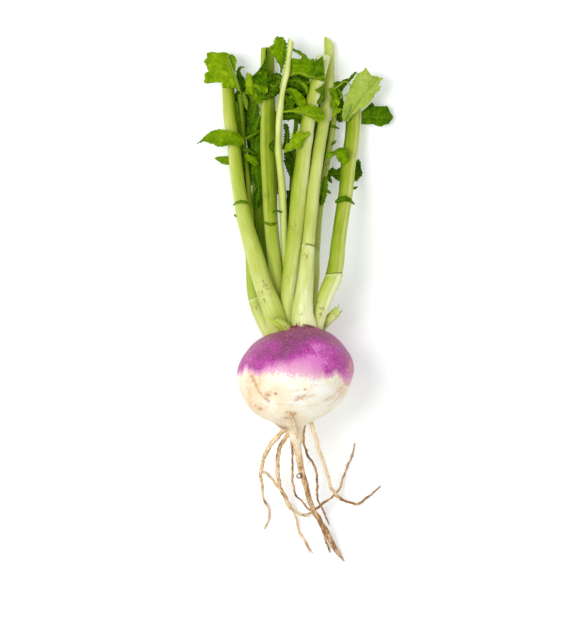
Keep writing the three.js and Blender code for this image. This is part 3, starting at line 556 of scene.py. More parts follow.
def build_bulb():
    """The bulb with its tap root: its shape, and masks for the skin's colours."""
    middles, radii, along, bulb_count = bulb_rings()
    side = unit(np.cross(along, UP))
    over = np.cross(side, along)
    angle = np.linspace(0, 2 * math.pi, BULB_SIDES, endpoint=False)
    out = np.cos(angle)[None, :, None] * over[:, None, :] + np.sin(angle)[None, :, None] * side[:, None, :]
    flat = middles[:, None, :] + radii[:, None, None] * out
    centred = flat - [0, 0, BULB_HEIGHT]
    is_bulb = (np.arange(len(radii)) < bulb_count)[:, None]
    calm = step_up(radii, 2, 20)[:, None] * is_bulb
    swell = 0.3 * wobble(flat, 34, 1) + 0.14 * wobble(flat, 13, 2) + 0.035 * wobble(flat, 4, 3)
    neck = step_up(-flat[..., 1], 25, 32) * is_bulb
    bark = 0.16 * wobble(flat * [1, 0.45, 1], 3.2, 4) + 0.1 * wobble(flat * [1, 1.8, 1], 1.6, 5)
    bark = bark * np.maximum(neck, ~is_bulb) * step_up(radii, 0.3, 1.6)[:, None]
    collar = np.exp(-(((flat[..., 1] + 33.8 + 0.12 * flat[..., 0]) / 1.9) ** 2))
    collar = collar * step_up(-out[..., 0], -0.1, 0.8) * is_bulb
    faces_up = step_up(out[..., 2], 0.02, 0.2) * is_bulb
    scars = spots(flat, SCARS) * faces_up
    stains = spots(flat + 0.8 * wobble(flat, 5, 9)[..., None], STAINS) * faces_up
    blush = spots(flat, BLUSHES) * faces_up
    scratches = np.zeros(scars.shape)
    ragged = flat[..., :2] + 0.2 * np.stack([wobble(flat, 3, 6), wobble(flat, 3, 7)], axis=-1)
    for half_width, line in SCRATCHES:
        strength = min(1.0, half_width / 0.36)
        scratches = np.maximum(scratches, strength * line_mark(ragged, line, half_width * 1.5) * faces_up)
    rng = np.random.default_rng(8)
    for _ in range(HIDDEN_SCARS):
        at = unit(rng.normal(size=3)) * BULB_RADIUS * 0.95
        size = rng.uniform(0.8, 2.4)
        far = np.linalg.norm((centred - at) * [1, rng.uniform(0.6, 2.6), 1], axis=-1)
        if at[2] < 4 and at[1] < 10:
            scars = np.maximum(scars, np.exp(-(far / size) ** 2) * is_bulb)
    creases = np.zeros(scars.shape)
    for place in LEAF_RINGS:
        ring_y = place + 0.5 * wobble(out, 1.2, int(place))
        creases = creases + np.exp(-((flat[..., 1] - ring_y) / 0.35) ** 2)
    for place in NECK_WRINKLES:
        ring_y = place + 0.7 * wobble(out, 1.0, -int(place * 10))
        creases = creases + 0.9 * np.exp(-((flat[..., 1] - ring_y) / 0.3) ** 2) * neck
    depth = radii[:, None] + swell * calm + bark + 1.8 * collar
    depth = depth - 0.24 * scars - 0.1 * blush - 0.08 * scratches - 0.1 * creases
    points = middles[:, None, :] + depth[..., None] * out
    points[..., 2] = np.maximum(points[..., 2], 0.02)
    middle, wide, rise = LIP
    lip = rise * np.exp(-(((flat[..., 0] - middle) / wide) ** 4)) * step_up(out[..., 2], 0.3, 0.85) * is_bulb
    points[..., 1] += lip * step_up(flat[..., 1], 25, 30)
    crown = step_up(flat[..., 1] + 1.2 * wobble(out, 0.5, 30), 24, 31.4) * is_bulb
    crown = np.maximum(crown, 0.85 * spots(flat, SHEEN) * faces_up)
    barky = step_up(-flat[..., 1] + 1.6 * wobble(flat, 5, 31), 35, 54)
    barky = np.where(is_bulb, barky, np.maximum(barky, 0.3))
    vivid = 0.5 + 0.22 * wobble(centred, 17, 32) * (1 - faces_up)
    # The first patch is partly a painted highlight.
    for x, y, wide, tall, much in PATCHES:
        vivid = vivid + much * spots(flat, [[x, y, wide, tall]]) * faces_up
    vivid = vivid - 0.3 * step_up(flat[..., 1], 18, 28)
    # Warmer towards the neck and at random; the spot at the left rim is painted shade, darker and pinker, and
    # the spot at the lower right is painted light, paler.
    warmth_and_painted_light = 0.24 + 0.26 * step_up(-flat[..., 1], 4, 30) + 0.16 * wobble(centred, 14, 33)
    warmth_and_painted_light = warmth_and_painted_light + 0.5 * spots(flat, [[-30, -8, 9, 14]]) - 0.3 * spots(flat, [[14, -14, 12, 12]]) * faces_up
    marks = np.maximum.reduce([scars, 0.9 * scratches, 0.3 * np.clip(creases, 0, 1) * neck])
    points_all, faces = loft(points, np.stack([middles[0] + [0, 0.05, 0], middles[-1] + along[-1] * 0.4]))
    # Darker on the sides and underside of the tap root: painted shade; the SOIL spots and its lower part are
    # its own dark patches.
    soil_and_painted_shade = 0.8 - np.clip(out[..., 2], 0, 1) ** 0.7 + 1.1 * spots(flat, SOIL)
    soil_and_painted_shade = np.where(is_bulb, 0.0, soil_and_painted_shade + 0.9 * step_up(-flat[..., 1], 56, 84))
    masks = {"belt": purple_share(flat), "soil_and_painted_shade": soil_and_painted_shade, "crown": crown * 0.7, "blush": blush, "bark": barky,
             "scar": marks * step_up(radii, 1.5, 8)[:, None], "vivid": vivid, "warmth_and_painted_light": warmth_and_painted_light, "stain": stains,
             "collar": collar}
    attributes = {key: np.concatenate([values.ravel(), [values[0].mean(), values[-1].mean()]])
                  for key, values in masks.items()}
    attributes["straight"] = points_all
    new_piece("turnip_bulb_and_taproot", points_all, faces, SKIN, ["bulb_with_taproot"], attributes)


# ---------- tubes: stalks and roots ----------


def end_rings(ring, middle, outward, shrink, depths):
    """Rings that close a tube's end: each is ring drawn in towards the middle and moved along outward."""
    return np.stack([middle + (ring - middle) * k + outward * depth for k, depth in zip(shrink, depths)])


STALK_SIDES = 72
STALK_SPACING = 0.8
BREAK_SPACING = 0.4  # for a stalk with a snap in it
STALK_DEPTH = 0.86  # of a stalk's height to its width
# The rings over a stalk's cut end: their size, how far out they are, and their share of the cut colour.
CUT_SHRINK = [0.985, 0.94, 0.86, 0.7, 0.5, 0.28]
CUT_DEPTH = [0.12, 0.14, 0.02, -0.18, -0.3, -0.34]
CUT_COLOUR = [0.0, 0.35, 1, 1, 1, 1]


def build_stalk(name, route, tones, across=(0, 0), groove=None, groove_depth=0.1, groove_tone=0.0, painted_half_shade=0.0,
                slant=(0, 0), seed=0, breaks=(), bruises=(), painted_edge_shade=0.1):
    """A leaf stalk. tones are those of its crown end, a third of the way up and its cut end. across makes the
    +X side paler, by one amount at the crown and another at the cut end, partly as the stalk's own tone and
    partly as painted shade on the side that its neighbours shadow. groove is where its groove faces, in
    degrees from straight up towards +X, and halves makes the far side of it darker, as painted shade. breaks
    are (y, slope, step, depth, width, tone past it, how far the snap's dent and its painted shade run towards
    -X) of snapped places, and bruises are (x, y, radius) of brown specks seen from above. painted_edge_shade
    makes the edges and underside darker, as painted shade."""
    path = smooth(route, BREAK_SPACING if breaks else STALK_SPACING)
    along, side, over = frames(path[:, :3])
    length = path_length(path)
    angle = np.linspace(0, 2 * math.pi, STALK_SIDES, endpoint=False)[None, :]
    here = length[:, None]
    across_mm = np.sin(angle) * path[:, 3:4] / 2
    above_mm = np.cos(angle) * path[:, 3:4] / 2
    straight = np.stack([across_mm, above_mm, np.broadcast_to(here, across_mm.shape)], axis=-1)
    grown = step_up(here, 6, 34)
    share = 1 + 0.006 * np.cos(11 * angle + 0.8 * np.sin(here / 40) + seed) * grown
    share = share + 0.005 * np.cos(27 * angle + 0.5 * np.sin(here / 23) + seed * 2.3) * grown
    tone = np.interp(here / length[-1], [0.05, 0.36, 1], tones)
    # One side paler: partly the stalk's own tone, partly painted shade on the side that its neighbours
    # shadow.
    tone = tone - (across[0] + (across[1] - across[0]) * here / length[-1]) * np.sin(angle)
    # Darker towards the edges and the underside: painted shade.
    tone = tone - painted_edge_shade * (1 - np.clip(np.cos(angle), 0, 1)) ** 1.5
    if groove is not None:
        away = (angle + math.radians(groove) + math.pi) % (2 * math.pi) - math.pi
        deep = step_up(here, 50, 95) if painted_half_shade else grown
        dip = np.exp(-(away / 0.26) ** 2) * deep
        banks = np.exp(-((np.abs(away) - 0.6) / 0.24) ** 2) * deep
        share = share - groove_depth * dip + 0.3 * groove_depth * banks
        tone = tone + groove_tone * np.exp(-(away / 0.16) ** 2) * deep
        # The far side of the groove darker: painted shade.
        tone = tone - painted_half_shade * step_up(-away, -0.05, 0.2) * (np.cos(away) > -0.2) * step_up(here, 50, 95)
    # A dark line along each snap: painted shade in the crack.
    painted_crease_shade = np.zeros(share.shape)
    lip = np.zeros(share.shape)
    for y, slope, step, depth, width, change, gash in breaks:
        past = path[:, 1:2] - y + slope * across_mm
        past = past + 0.16 * wobble(straight * [1, 1, 0], 2.4, seed + 70) * (1 if width < 0.5 else 0.6)
        shown = step_up(np.cos(angle), -0.35, 0.2)
        share = share * (1 - step * step_up(past, -0.2, 0.3) * (1 - step_up(past, 8, 26)) * shown)
        tone = tone + change * step_up(past, -0.3, 0.3)
        line = np.exp(-(past / width) ** 2) * shown * (1 - step_up(across_mm, gash - 0.8, gash + 0.8))
        painted_crease_shade = np.maximum(painted_crease_shade, line)
        lip = np.maximum(lip, np.exp(-((past + 1.1) / 0.8) ** 2) * shown)
        share = share - depth * line + 0.02 * lip
    lumps = 0.1 * wobble(straight * [1, 1, 0.4], 10, seed + 50)
    lumps = lumps + 0.025 * wobble(straight * [1, 1, 0.3], 3, seed + 60)
    lean = np.zeros(share.shape)
    full = slant[0] * across_mm[-1] + slant[1] * above_mm[-1]
    fade = 28 if breaks else 14  # the slant fades over the last rings, so that they don't cross
    for i in range(1, fade):
        lean[-i] = full * (1 - (i - 1) / (fade - 1))
    rings = (path[:, None, :3] + (across_mm * share)[..., None] * side[:, None, :]
             + (above_mm * share * STALK_DEPTH)[..., None] * over[:, None, :]
             + lean[..., None] * along[:, None, :])
    rings = rings + unit(rings - path[:, None, :3]) * lumps[..., None]
    middle = rings[-1].mean(axis=0)
    cap = end_rings(rings[-1], middle, along[-1], CUT_SHRINK, CUT_DEPTH)
    ends = np.stack([rings[0].mean(axis=0), middle + along[-1] * CUT_DEPTH[-1]])
    points, faces = loft(np.concatenate([rings, cap]), ends)
    bruise = np.zeros(share.shape)
    for x, y, radius in bruises:
        far = np.hypot(rings[..., 0] - x, rings[..., 1] - y)
        bruise = np.maximum(bruise, np.exp(-(far / radius) ** 2) * step_up(np.cos(angle), 0.0, 0.3))
    blank = np.zeros(cap.shape[:2])
    cut = np.repeat(np.array(CUT_COLOUR)[:, None], STALK_SIDES, axis=1)
    masks = {"tone": (tone, blank + tone[-1]), "cut": (blank[:1] + 0 * tone, cut), "bruise": (bruise, blank),
             "painted_crease_shade": (painted_crease_shade, blank), "lip": (lip * 0.6, blank)}
    attributes = {key: np.concatenate([a.ravel(), b.ravel(), [a[0].mean(), b[-1].mean()]])
                  for key, (a, b) in masks.items()}
    flat = np.concatenate([straight.reshape(-1, 3), (cap - middle).reshape(-1, 3), np.zeros((2, 3))])
    attributes["straight"] = flat + [seed * 31, 0, 0]
    new_piece(f"leaf_{name}", points, faces, STALK, [name], attributes)


ROOT_SPACING = 0.5
HAIR_SIDES = 6
NOT_CLEAN = -30


def tube(route, sides, seed, crook=0.22, bumps=1.0):
    """A crooked, tapering tube along rows of [x, y, z, width]: its points, faces, points as they would be if
    it were straight, and how dark each is, which is painted shade on its sides and underside."""
    path = smooth(route, ROOT_SPACING)
    along, side, over = frames(path[:, :3])
    length = path_length(path)
    line = np.stack([length, 0 * length, 0 * length], axis=1)
    fade = step_up(length, 0, 6)
    shift = crook * (wobble(line, 9, seed + 200) + 0.4 * wobble(line, 3.6, seed + 210)) * fade
    lift = 0.4 * crook * wobble(line, 8, seed + 220) * fade
    middle = path[:, :3] + side * shift[:, None] + over * lift[:, None]
    angle = np.linspace(0, 2 * math.pi, sides, endpoint=False)
    out = np.sin(angle)[None, :, None] * side[:, None, :] + np.cos(angle)[None, :, None] * over[:, None, :]
    node = np.clip(wobble(line, 5, seed + 260) - 0.9, 0, 1)
    uneven = 0.08 * wobble(line, 4.5, seed + 230) + 0.07 * wobble(line, 1.8, seed + 240) + 0.35 * node
    width = path[:, 3] * (1 + bumps * uneven)
    radius = (width / 2)[:, None]
    straight = np.stack([np.sin(angle)[None, :] * radius, np.cos(angle)[None, :] * radius,
                         np.broadcast_to(length[:, None], (len(path), sides))], axis=-1)
    radius = radius * (1 + bumps * 0.08 * wobble(straight * [2.2, 2.2, 0.5], 3, seed + 250))
    rings = middle[:, None, :] + radius[..., None] * out
    rings[..., 2] = np.maximum(rings[..., 2], 0.03)
    tip = end_rings(rings[-1], rings[-1].mean(axis=0), along[-1], [0.75, 0.4], [0.15, 0.25])
    end = rings[-1].mean(axis=0) + along[-1] * 0.28
    points, faces = loft(np.concatenate([rings, tip]), np.stack([rings[0].mean(axis=0), end]))
    flat = np.concatenate([straight.reshape(-1, 3), np.tile(straight[-1], (2, 1)),
                           [[0, 0, 0], [0, 0, length[-1]]]]) + [seed * 17, 0, 0]
    # Darker on the sides and underside: painted shade.
    soil_and_painted_shade = np.append(np.tile(1 - np.clip(out[..., 2], 0, 1).mean(axis=0) ** 0.7, len(path) + 2), [0.5, 0.5])
    return points, faces, flat, soil_and_painted_shade


def hair_route(path, rng):
    """A short root hair that leaves a path sideways and droops."""
    i = rng.integers(len(path) // 8, len(path) - 2)
    way = unit(path[i + 1, :3] - path[i, :3])
    out = unit(np.cross(way, unit(rng.normal(size=3))) * [1, 1, 0.4] + way * rng.uniform(0.2, 0.9))
    size = rng.uniform(1.2, 4.2)
    bend = unit(rng.normal(size=3)) * [1, 1, 0.3] * size * 0.22
    rows = np.array([np.append(path[i, :3] + out * size * t + bend * t * t - UP * size * 0.18 * t * t,
                               0.42 - 0.26 * t) for t in (0.0, 0.35, 0.7, 1.0)])
    rows[:, 2] = np.maximum(rows[:, 2], 0.25)
    return rows


def build_root(name, route, material, seed, replaced=(), crook=0.22, hairs=0, sides=16,
               bumps=1.0, tone=None, clean=NOT_CLEAN):
    """A side root, rootlet or thread, with hairs. Its first clean mm are nearly white, if clean is above 0,
    and the rest is brown."""
    points, faces, flat, soil_and_painted_shade = tube(route, sides, seed, crook, bumps)
    rng = np.random.default_rng(seed + 500)
    path = smooth(route, ROOT_SPACING)
    for k in range(hairs):
        more, more_faces, more_flat, more_soil_and_shade = tube(hair_route(path, rng), HAIR_SIDES, seed * 40 + k, 0.05)
        faces = faces + [tuple(i + len(points) for i in face) for face in more_faces]
        points = np.concatenate([points, more])
        flat = np.concatenate([flat, more_flat])
        soil_and_painted_shade = np.concatenate([soil_and_painted_shade, more_soil_and_shade])
    soil_and_painted_shade = soil_and_painted_shade - step_up(clean - flat[:, 2], -14, 8)
    if clean > 0:
        soil_and_painted_shade = soil_and_painted_shade + 1.2 * step_up(flat[:, 2] - clean, 2, 12)
    attributes = {"straight": flat, "blade": flat, "soil_and_painted_shade": soil_and_painted_shade}
    if tone is not None:
        attributes["tone"] = np.full(len(points), tone)
    new_piece(name, points, faces, material, replaced, attributes)


# ---------- leaf blades ----------
BLADE_SPACING = 0.45
BLADE_THICKNESS = 0.34


def toothed(line, depth, pitch, outward_from, seed):
    """An edge with small uneven teeth that point away from the rib."""
    rng = np.random.default_rng(seed)
    step = np.linalg.norm(np.gradient(line, axis=0), axis=1)
    run = np.cumsum(step)
    phase = run / pitch + 0.35 * np.sin(run / 5.1 + seed)
    size = rng.uniform(0.35, 1.0, 400)[np.clip(phase.astype(int) + 20, 0, 399)]
    tooth = (phase % 1.0) ** 1.6 * size
    away = unit(line - outward_from)
    fade = step_up(run, 0, 4) * step_up(run[-1] - run, 0, 1.5)
    return line + away * (depth * (tooth - 0.3) * fade)[:, None]


def beside(rib, widths, turn, seed):
    """An outline beside a rib, at these distances from it. turn is 1 for the left and -1 for the right."""
    line = smooth(rib, 0.8)
    along = unit(np.gradient(line[:, :2], axis=0))
    out = np.stack([-along[:, 1], along[:, 0]], axis=1) * turn
    t = np.linspace(0, 1, len(line))
    reach = smooth([[k, w, 0] for k, w in enumerate(widths)], 0.05)
    reach = np.interp(t * (len(widths) - 1), reach[:, 0], reach[:, 1])
    lobes = 1 + 0.16 * wobble(np.stack([t * 20, 0 * t, 0 * t], axis=1), 6, seed + 400)
    return line[:, :2] + out * np.maximum(reach * lobes, 0.12)[:, None]


def build_blade(name, seed, tone, ruffle, teeth, veins, rib, left, right, fold=0.0, pitch=2.6, cup=0.16,
                veined=0.4, rib_width=0.8, under=False, droop=0.0, material=None, replaced=()):
    """A leaf blade between a midrib and an outline on each side, all given from the stalk to the tip. An
    outline is a row of points, or a row of widths. ruffle is how far its edges wave and teeth how deep they
    are cut, in mm, pitch the size of a tooth, cup how steeply it rises from the rib, fold how much darker its
    right half is, as painted shade, veined how strong its veins are, droop how far its edges hang, and under
    shows its underside."""
    if np.ndim(left) == 1:
        left = beside(rib, left, 1, seed)
        right = beside(rib, right, -1, seed + 7)
    _, left_length = along_line(left, 2)
    _, right_length = along_line(right, 2)
    rows = int(np.clip(max(left_length, right_length) / BLADE_SPACING, 14, 150))
    ribline, rib_length = along_line(smooth(rib, 0.1), rows)
    edges = []
    for k, outline in enumerate((right, left)):
        line, _ = along_line(outline, rows)
        edges.append(toothed(line, teeth, pitch, ribline[:, :2], seed * 2 + k))
    reach = [np.linalg.norm(edge - ribline[:, :2], axis=1) for edge in edges]
    widest = max(reach[0].max(), reach[1].max())
    columns = int(np.clip(widest / BLADE_SPACING, 4, 40))
    v = np.concatenate([-np.linspace(1, 0, columns, endpoint=False), np.linspace(0, 1, columns + 1)])
    size = np.abs(v)[None, :]
    edge = np.where((v < 0)[None, :, None], edges[0][:, None, :], edges[1][:, None, :])
    far = np.where((v < 0)[None, :], reach[0][:, None], reach[1][:, None]) * size
    flat = ribline[:, None, :2] + (edge - ribline[:, None, :2]) * size[..., None]
    u = np.linspace(0, 1, rows)[:, None]
    vein = np.zeros(far.shape)
    for k in range(1, veins + 1):
        for turn in (-1, 1):
            start = (k - 0.3 + 0.18 * turn) / (veins + 0.6)
            off = np.abs(u - start - 0.12 * size - 0.02 * np.sin(size * 5 + k)) * rib_length
            line = np.exp(-(off / (0.34 - 0.2 * size)) ** 2) * (1 - 0.75 * size)
            vein = np.maximum(vein, np.where((v * turn > 0)[None, :], line, 0))
    thick_rib = rib_width * (1 - 0.8 * u) * 0.75 + 0.1
    midrib = np.exp(-(far / thick_rib) ** 2)
    vein = np.maximum(vein * 0.6, midrib)
    size_mm = min(1.0, widest / 5)
    waves = wobble(flat, 10, seed + 300) + 0.6 * wobble(flat, 4.5, seed + 310)
    z = (ribline[:, None, 2] + cup * far * (1 - 0.5 * far / (widest + 1e-6)) - droop * (far / widest) ** 2
         + ruffle * size_mm * size ** 1.3 * waves + 0.16 * ruffle * size * wobble(flat, 2.2, seed + 320))
    crinkle = wobble(flat, 3.2, seed + 330)
    z = z + 0.36 * size_mm * (1 - vein) * step_up(far, 0.3, 1.6) * (0.6 + 0.5 * crinkle)
    surface = np.concatenate([flat, z[..., None]], axis=-1)
    normal = unit(np.cross(np.gradient(surface, axis=1), np.gradient(surface, axis=0)))
    normal = normal * np.sign(normal[..., 2:3] + 1e-9)
    half = BLADE_THICKNESS / 2 * (1 - 0.45 * size)
    ridge = 0.5 * midrib * thick_rib + 0.14 * vein
    top = surface + normal * (half + (ridge if under else 0.25 * ridge))[..., None]
    bottom = surface - normal * (half + (0.25 * ridge if under else ridge))[..., None]
    top[..., 2] = np.maximum(top[..., 2], 0.03 + BLADE_THICKNESS)
    bottom[..., 2] = np.maximum(bottom[..., 2], 0.03)
    count, across = far.shape
    sheet = grid_faces(count, across, closed=False)
    loop = np.concatenate([np.arange(across), np.arange(1, count) * across + across - 1,
                           (count - 1) * across + np.arange(across - 2, -1, -1),
                           np.arange(count - 2, 0, -1) * across])
    after = np.roll(loop, -1)
    total = count * across
    rim = np.stack([loop, after, after + total, loop + total], axis=1)
    faces = np.concatenate([sheet, sheet[:, ::-1] + total, rim[:, ::-1]])
    if np.cross(flat[count // 2, -1] - flat[count // 2, 0], flat[-1, across // 2] - flat[0, across // 2]) < 0:
        faces = faces[:, ::-1]
    points = np.concatenate([top.reshape(-1, 3), bottom.reshape(-1, 3)])
    grid = np.stack([flat[..., 0] + seed * 13, flat[..., 1], z * 0.3], axis=-1).reshape(-1, 3)
    # The blade's tone: painted shade on the folded half, and painted light on its raised parts and ridges
    # with painted shade in its hollows, over random changes of its own.
    shade = tone - fold * (v < 0)[None, :] * step_up(far, 0.1, 0.5) + 0.07 * wobble(flat, 7, seed + 340)
    shade = shade + 0.05 * (z - ribline[:, None, 2]) + 0.022 * ruffle ** 2 * crinkle
    attributes = {"blade": np.tile(grid, (2, 1)), "vein": np.tile(vein.ravel(), 2) * veined,
                  "tone": np.tile(shade.ravel(), 2),
                  "edge": np.tile(np.broadcast_to(size, far.shape).ravel(), 2)}
    material = material or (LEAF_UNDER if under else LEAF)
    new_piece(name, points, faces.tolist(), material, replaced, attributes)


# ---------- the leaf stalks ----------
STALKS = [
    dict(name="stalk_left_front", tones=(0.8, 0.74, 0.5), across=(-0.04, -0.3), groove=150,
         route=[[-9.5, 26, 38.4, 13.2], [-12, 35, 41.4, 13.8], [-15.6, 45.5, 42.2, 13.2],
             [-20.7, 59, 39.8, 11.8], [-26.8, 79.5, 34.3, 11.2], [-32.5, 100, 28.4, 9.8],
             [-36.8, 121.6, 21.8, 8.8], [-39.8, 148, 14.4, 8.4], [-42.3, 166, 9.4, 8.2],
             [-44, 188, 4.1, 8.2]],
         bruises=[(-18.6, 58.5, 3), (-17.2, 55, 2.4), (-20.3, 49, 2), (-20.6, 61.5, 2), (-22.4, 54, 2),
             (-12, 37, 3)]),
    dict(name="stalk_centre_right", tones=(0.97, 0.82, 0.82), across=(0.08, 0.16), slant=(0.9, 0.3),
         route=[[4.8, 26, 40.6, 16], [5.2, 32.5, 43.2, 16.4], [4.5, 40, 44.6, 14.2], [5.5, 52, 43.8, 11.8],
             [6.8, 66, 41.6, 10.4], [8.4, 86.5, 36.9, 8.6], [9.6, 100, 33.2, 8.5], [11.6, 121, 26.6, 8.2],
             [13.9, 138, 21.5, 8], [18.7, 168, 13, 7.4], [21.8, 186, 8.6, 6.8], [22.1, 199, 5.8, 6.6],
             [21.9, 217.5, 3.4, 6.6]],
         bruises=[(3.4, 40.5, 1), (6.5, 78, 2), (5.6, 84, 1.4), (2.6, 34, 1.4)],
         breaks=[(84.5, -0.06, 0.04, 0.17, 0.55, -0.07, 2.2)]),
    dict(name="stalk_right_snapped", tones=(0.92, 0.7, 0.64), across=(0.16, 0.36), groove=32,
         groove_depth=0.1, groove_tone=0.16,
         route=[[11.5, 25, 37, 8], [13.7, 32.5, 38.6, 8.4], [15.6, 40, 38.8, 9], [19.3, 52, 37.8, 10],
             [24.4, 64, 35.8, 10.9], [26.2, 72.8, 33.4, 10.5], [27.6, 86.5, 30.3, 9.7],
             [29.6, 100, 26.4, 9.3], [32.8, 121.6, 19.8, 9.4], [34.3, 138, 14.9, 9.6],
             [36.7, 155.4, 9.4, 9.5], [37.8, 175, 4.5, 9.5]],
         bruises=[(16.5, 44, 2.4), (14.6, 47, 1.6), (16, 40, 2)],
         breaks=[(65.8, 0.3, 0.07, 0.12, 0.36, -0.18, 9)]),
    dict(name="stalk_centre_front", tones=(0.84, 0.66, 0.72), across=(0.1, 0.4), slant=(-0.25, -0.6),
         route=[[-4, 25, 37.5, 9.2], [-5.2, 38, 38.4, 9.4], [-4.9, 52, 38.8, 9.4], [-2.6, 73, 36.4, 10],
             [0.5, 100, 31.5, 10.6], [2.3, 121, 27.5, 10.2], [4.4, 138, 24.5, 9.8], [8.7, 168, 19.4, 9],
             [12.9, 186, 16.4, 8.8], [17.9, 206.8, 13.4, 9.3]], bruises=[(-5.8, 64, 1), (-2, 97, 2.4)]),
    dict(name="stalk_centre_left", tones=(0.72, 0.6, 0.58), groove=-22, groove_depth=0.16, groove_tone=-0.2,
         painted_half_shade=0.26,
         route=[[-8, 25, 31.5, 9], [-9, 37, 31.2, 9.4], [-12.4, 66, 28.6, 9.3], [-14.6, 86.5, 26, 9],
             [-15.9, 100, 24, 9], [-16.8, 121, 20.4, 9.6], [-17.9, 147, 15.7, 9.8], [-18, 180, 9.6, 9.4],
             [-18.2, 213, 4.4, 8.6]], bruises=[(-18.6, 118, 2.2)]),
    # Its strongly darkened edges are painted shade.
    dict(name="stalk_thin_front", tones=(0.4, 0.8, 0.9), slant=(0.6, 0.2), painted_edge_shade=0.7,
         route=[[0.6, 25, 31.6, 4.4], [-0.6, 35, 31.4, 4.6], [-4.4, 55, 30.6, 4.5], [-6.8, 78.7, 29.4, 4.5],
             [-7.6, 100, 28, 4.6], [-8.8, 121.6, 27, 5], [-10.4, 138, 26.5, 4.4], [-11.1, 145, 26.3, 4.9],
             [-11.1, 155.4, 26, 3.8], [-10.8, 165, 25.7, 4], [-10.1, 172, 25.5, 4.8], [-9, 180, 25.3, 3.9],
             [-7, 191, 25, 3.9], [-6, 195.5, 24.9, 4.6], [-5, 201, 24.6, 3.8], [-2.9, 217.2, 24, 3.9]]),
    dict(name="stalk_left_back", tones=(0.88, 0.6, 0.36), groove=120,
         route=[[-13.5, 22, 31.5, 7.4], [-18.5, 29.5, 30, 7.7], [-23.4, 40, 27.6, 7.7],
             [-26.7, 50, 25.4, 7.7], [-28.9, 77, 20.2, 7], [-31, 115, 13.4, 6], [-34, 147, 7.4, 4.8],
             [-36, 183, 2.5, 4.3]], bruises=[(-25.2, 45, 2.4)],
         breaks=[(50.5, 0.1, 0.05, 0.03, 0.12, -0.1, 9)]),
    # The next two stalks' dark tones are painted shade: they lie under the others.
    dict(name="stalk_left_inner", tones=(0.5, 0.24, 0.24),
         route=[[-7, 24, 24.4, 7.4], [-10.4, 37.7, 22.8, 7.6], [-19.8, 74, 16, 7.5], [-23.7, 95, 12.4, 7.5],
             [-24.6, 134, 6.9, 7.5], [-26.5, 165, 3.9, 6.6], [-27.6, 188, 3, 6]]),
    dict(name="stalk_hidden_thin", tones=(0.4, 0.16, 0.2),
         route=[[2.4, 24, 26, 3.4], [1, 36, 25.4, 3.4], [-3.6, 80, 18.6, 3.2], [-3.6, 100, 15.4, 3.2],
             [-2.6, 121, 12, 3.2], [-0.8, 150, 7.6, 3.1], [1.4, 176, 3.6, 2.8]]),
    dict(name="stalk_right_thin", tones=(0.9, 0.88, 0.6), across=(0.1, -0.1),
         route=[[7.5, 24, 31, 3.6], [9, 36, 30, 3.8], [12.4, 52, 27, 3.9], [14.3, 86.5, 20.4, 3.8],
             [15.9, 106.6, 16.8, 3.8], [18.9, 129.4, 12.9, 3.8], [23.5, 155.4, 8.6, 3.7],
             [25.5, 173, 5.6, 3.2], [26.2, 190, 3, 2.6]], bruises=[(21, 136, 4), (15.4, 84, 3)]),
    dict(name="stub_right", tones=(0.8, 0.82, 0.76), across=(0.1, 0.1), groove=20, groove_depth=0.08,
         slant=(0.3, 0.2),
         route=[[13.2, 24, 31.2, 6.3], [16.6, 31.2, 32.2, 6.3], [22, 37, 33.4, 6.2], [27.4, 42.2, 33.8, 6.2]],
         bruises=[(19, 32.5, 3), (25, 38, 3)]),
    dict(name="stub_left_front", tones=(0.76, 0.72, 0.7), groove=180, slant=(0.2, 0.2),
         route=[[-3.4, 27.6, 46.6, 6.2], [-5.6, 31, 49.8, 6.2], [-9, 33.6, 51.8, 6.3],
             [-13.3, 36, 52.6, 6.6]], bruises=[(-6, 32, 2)]),
]

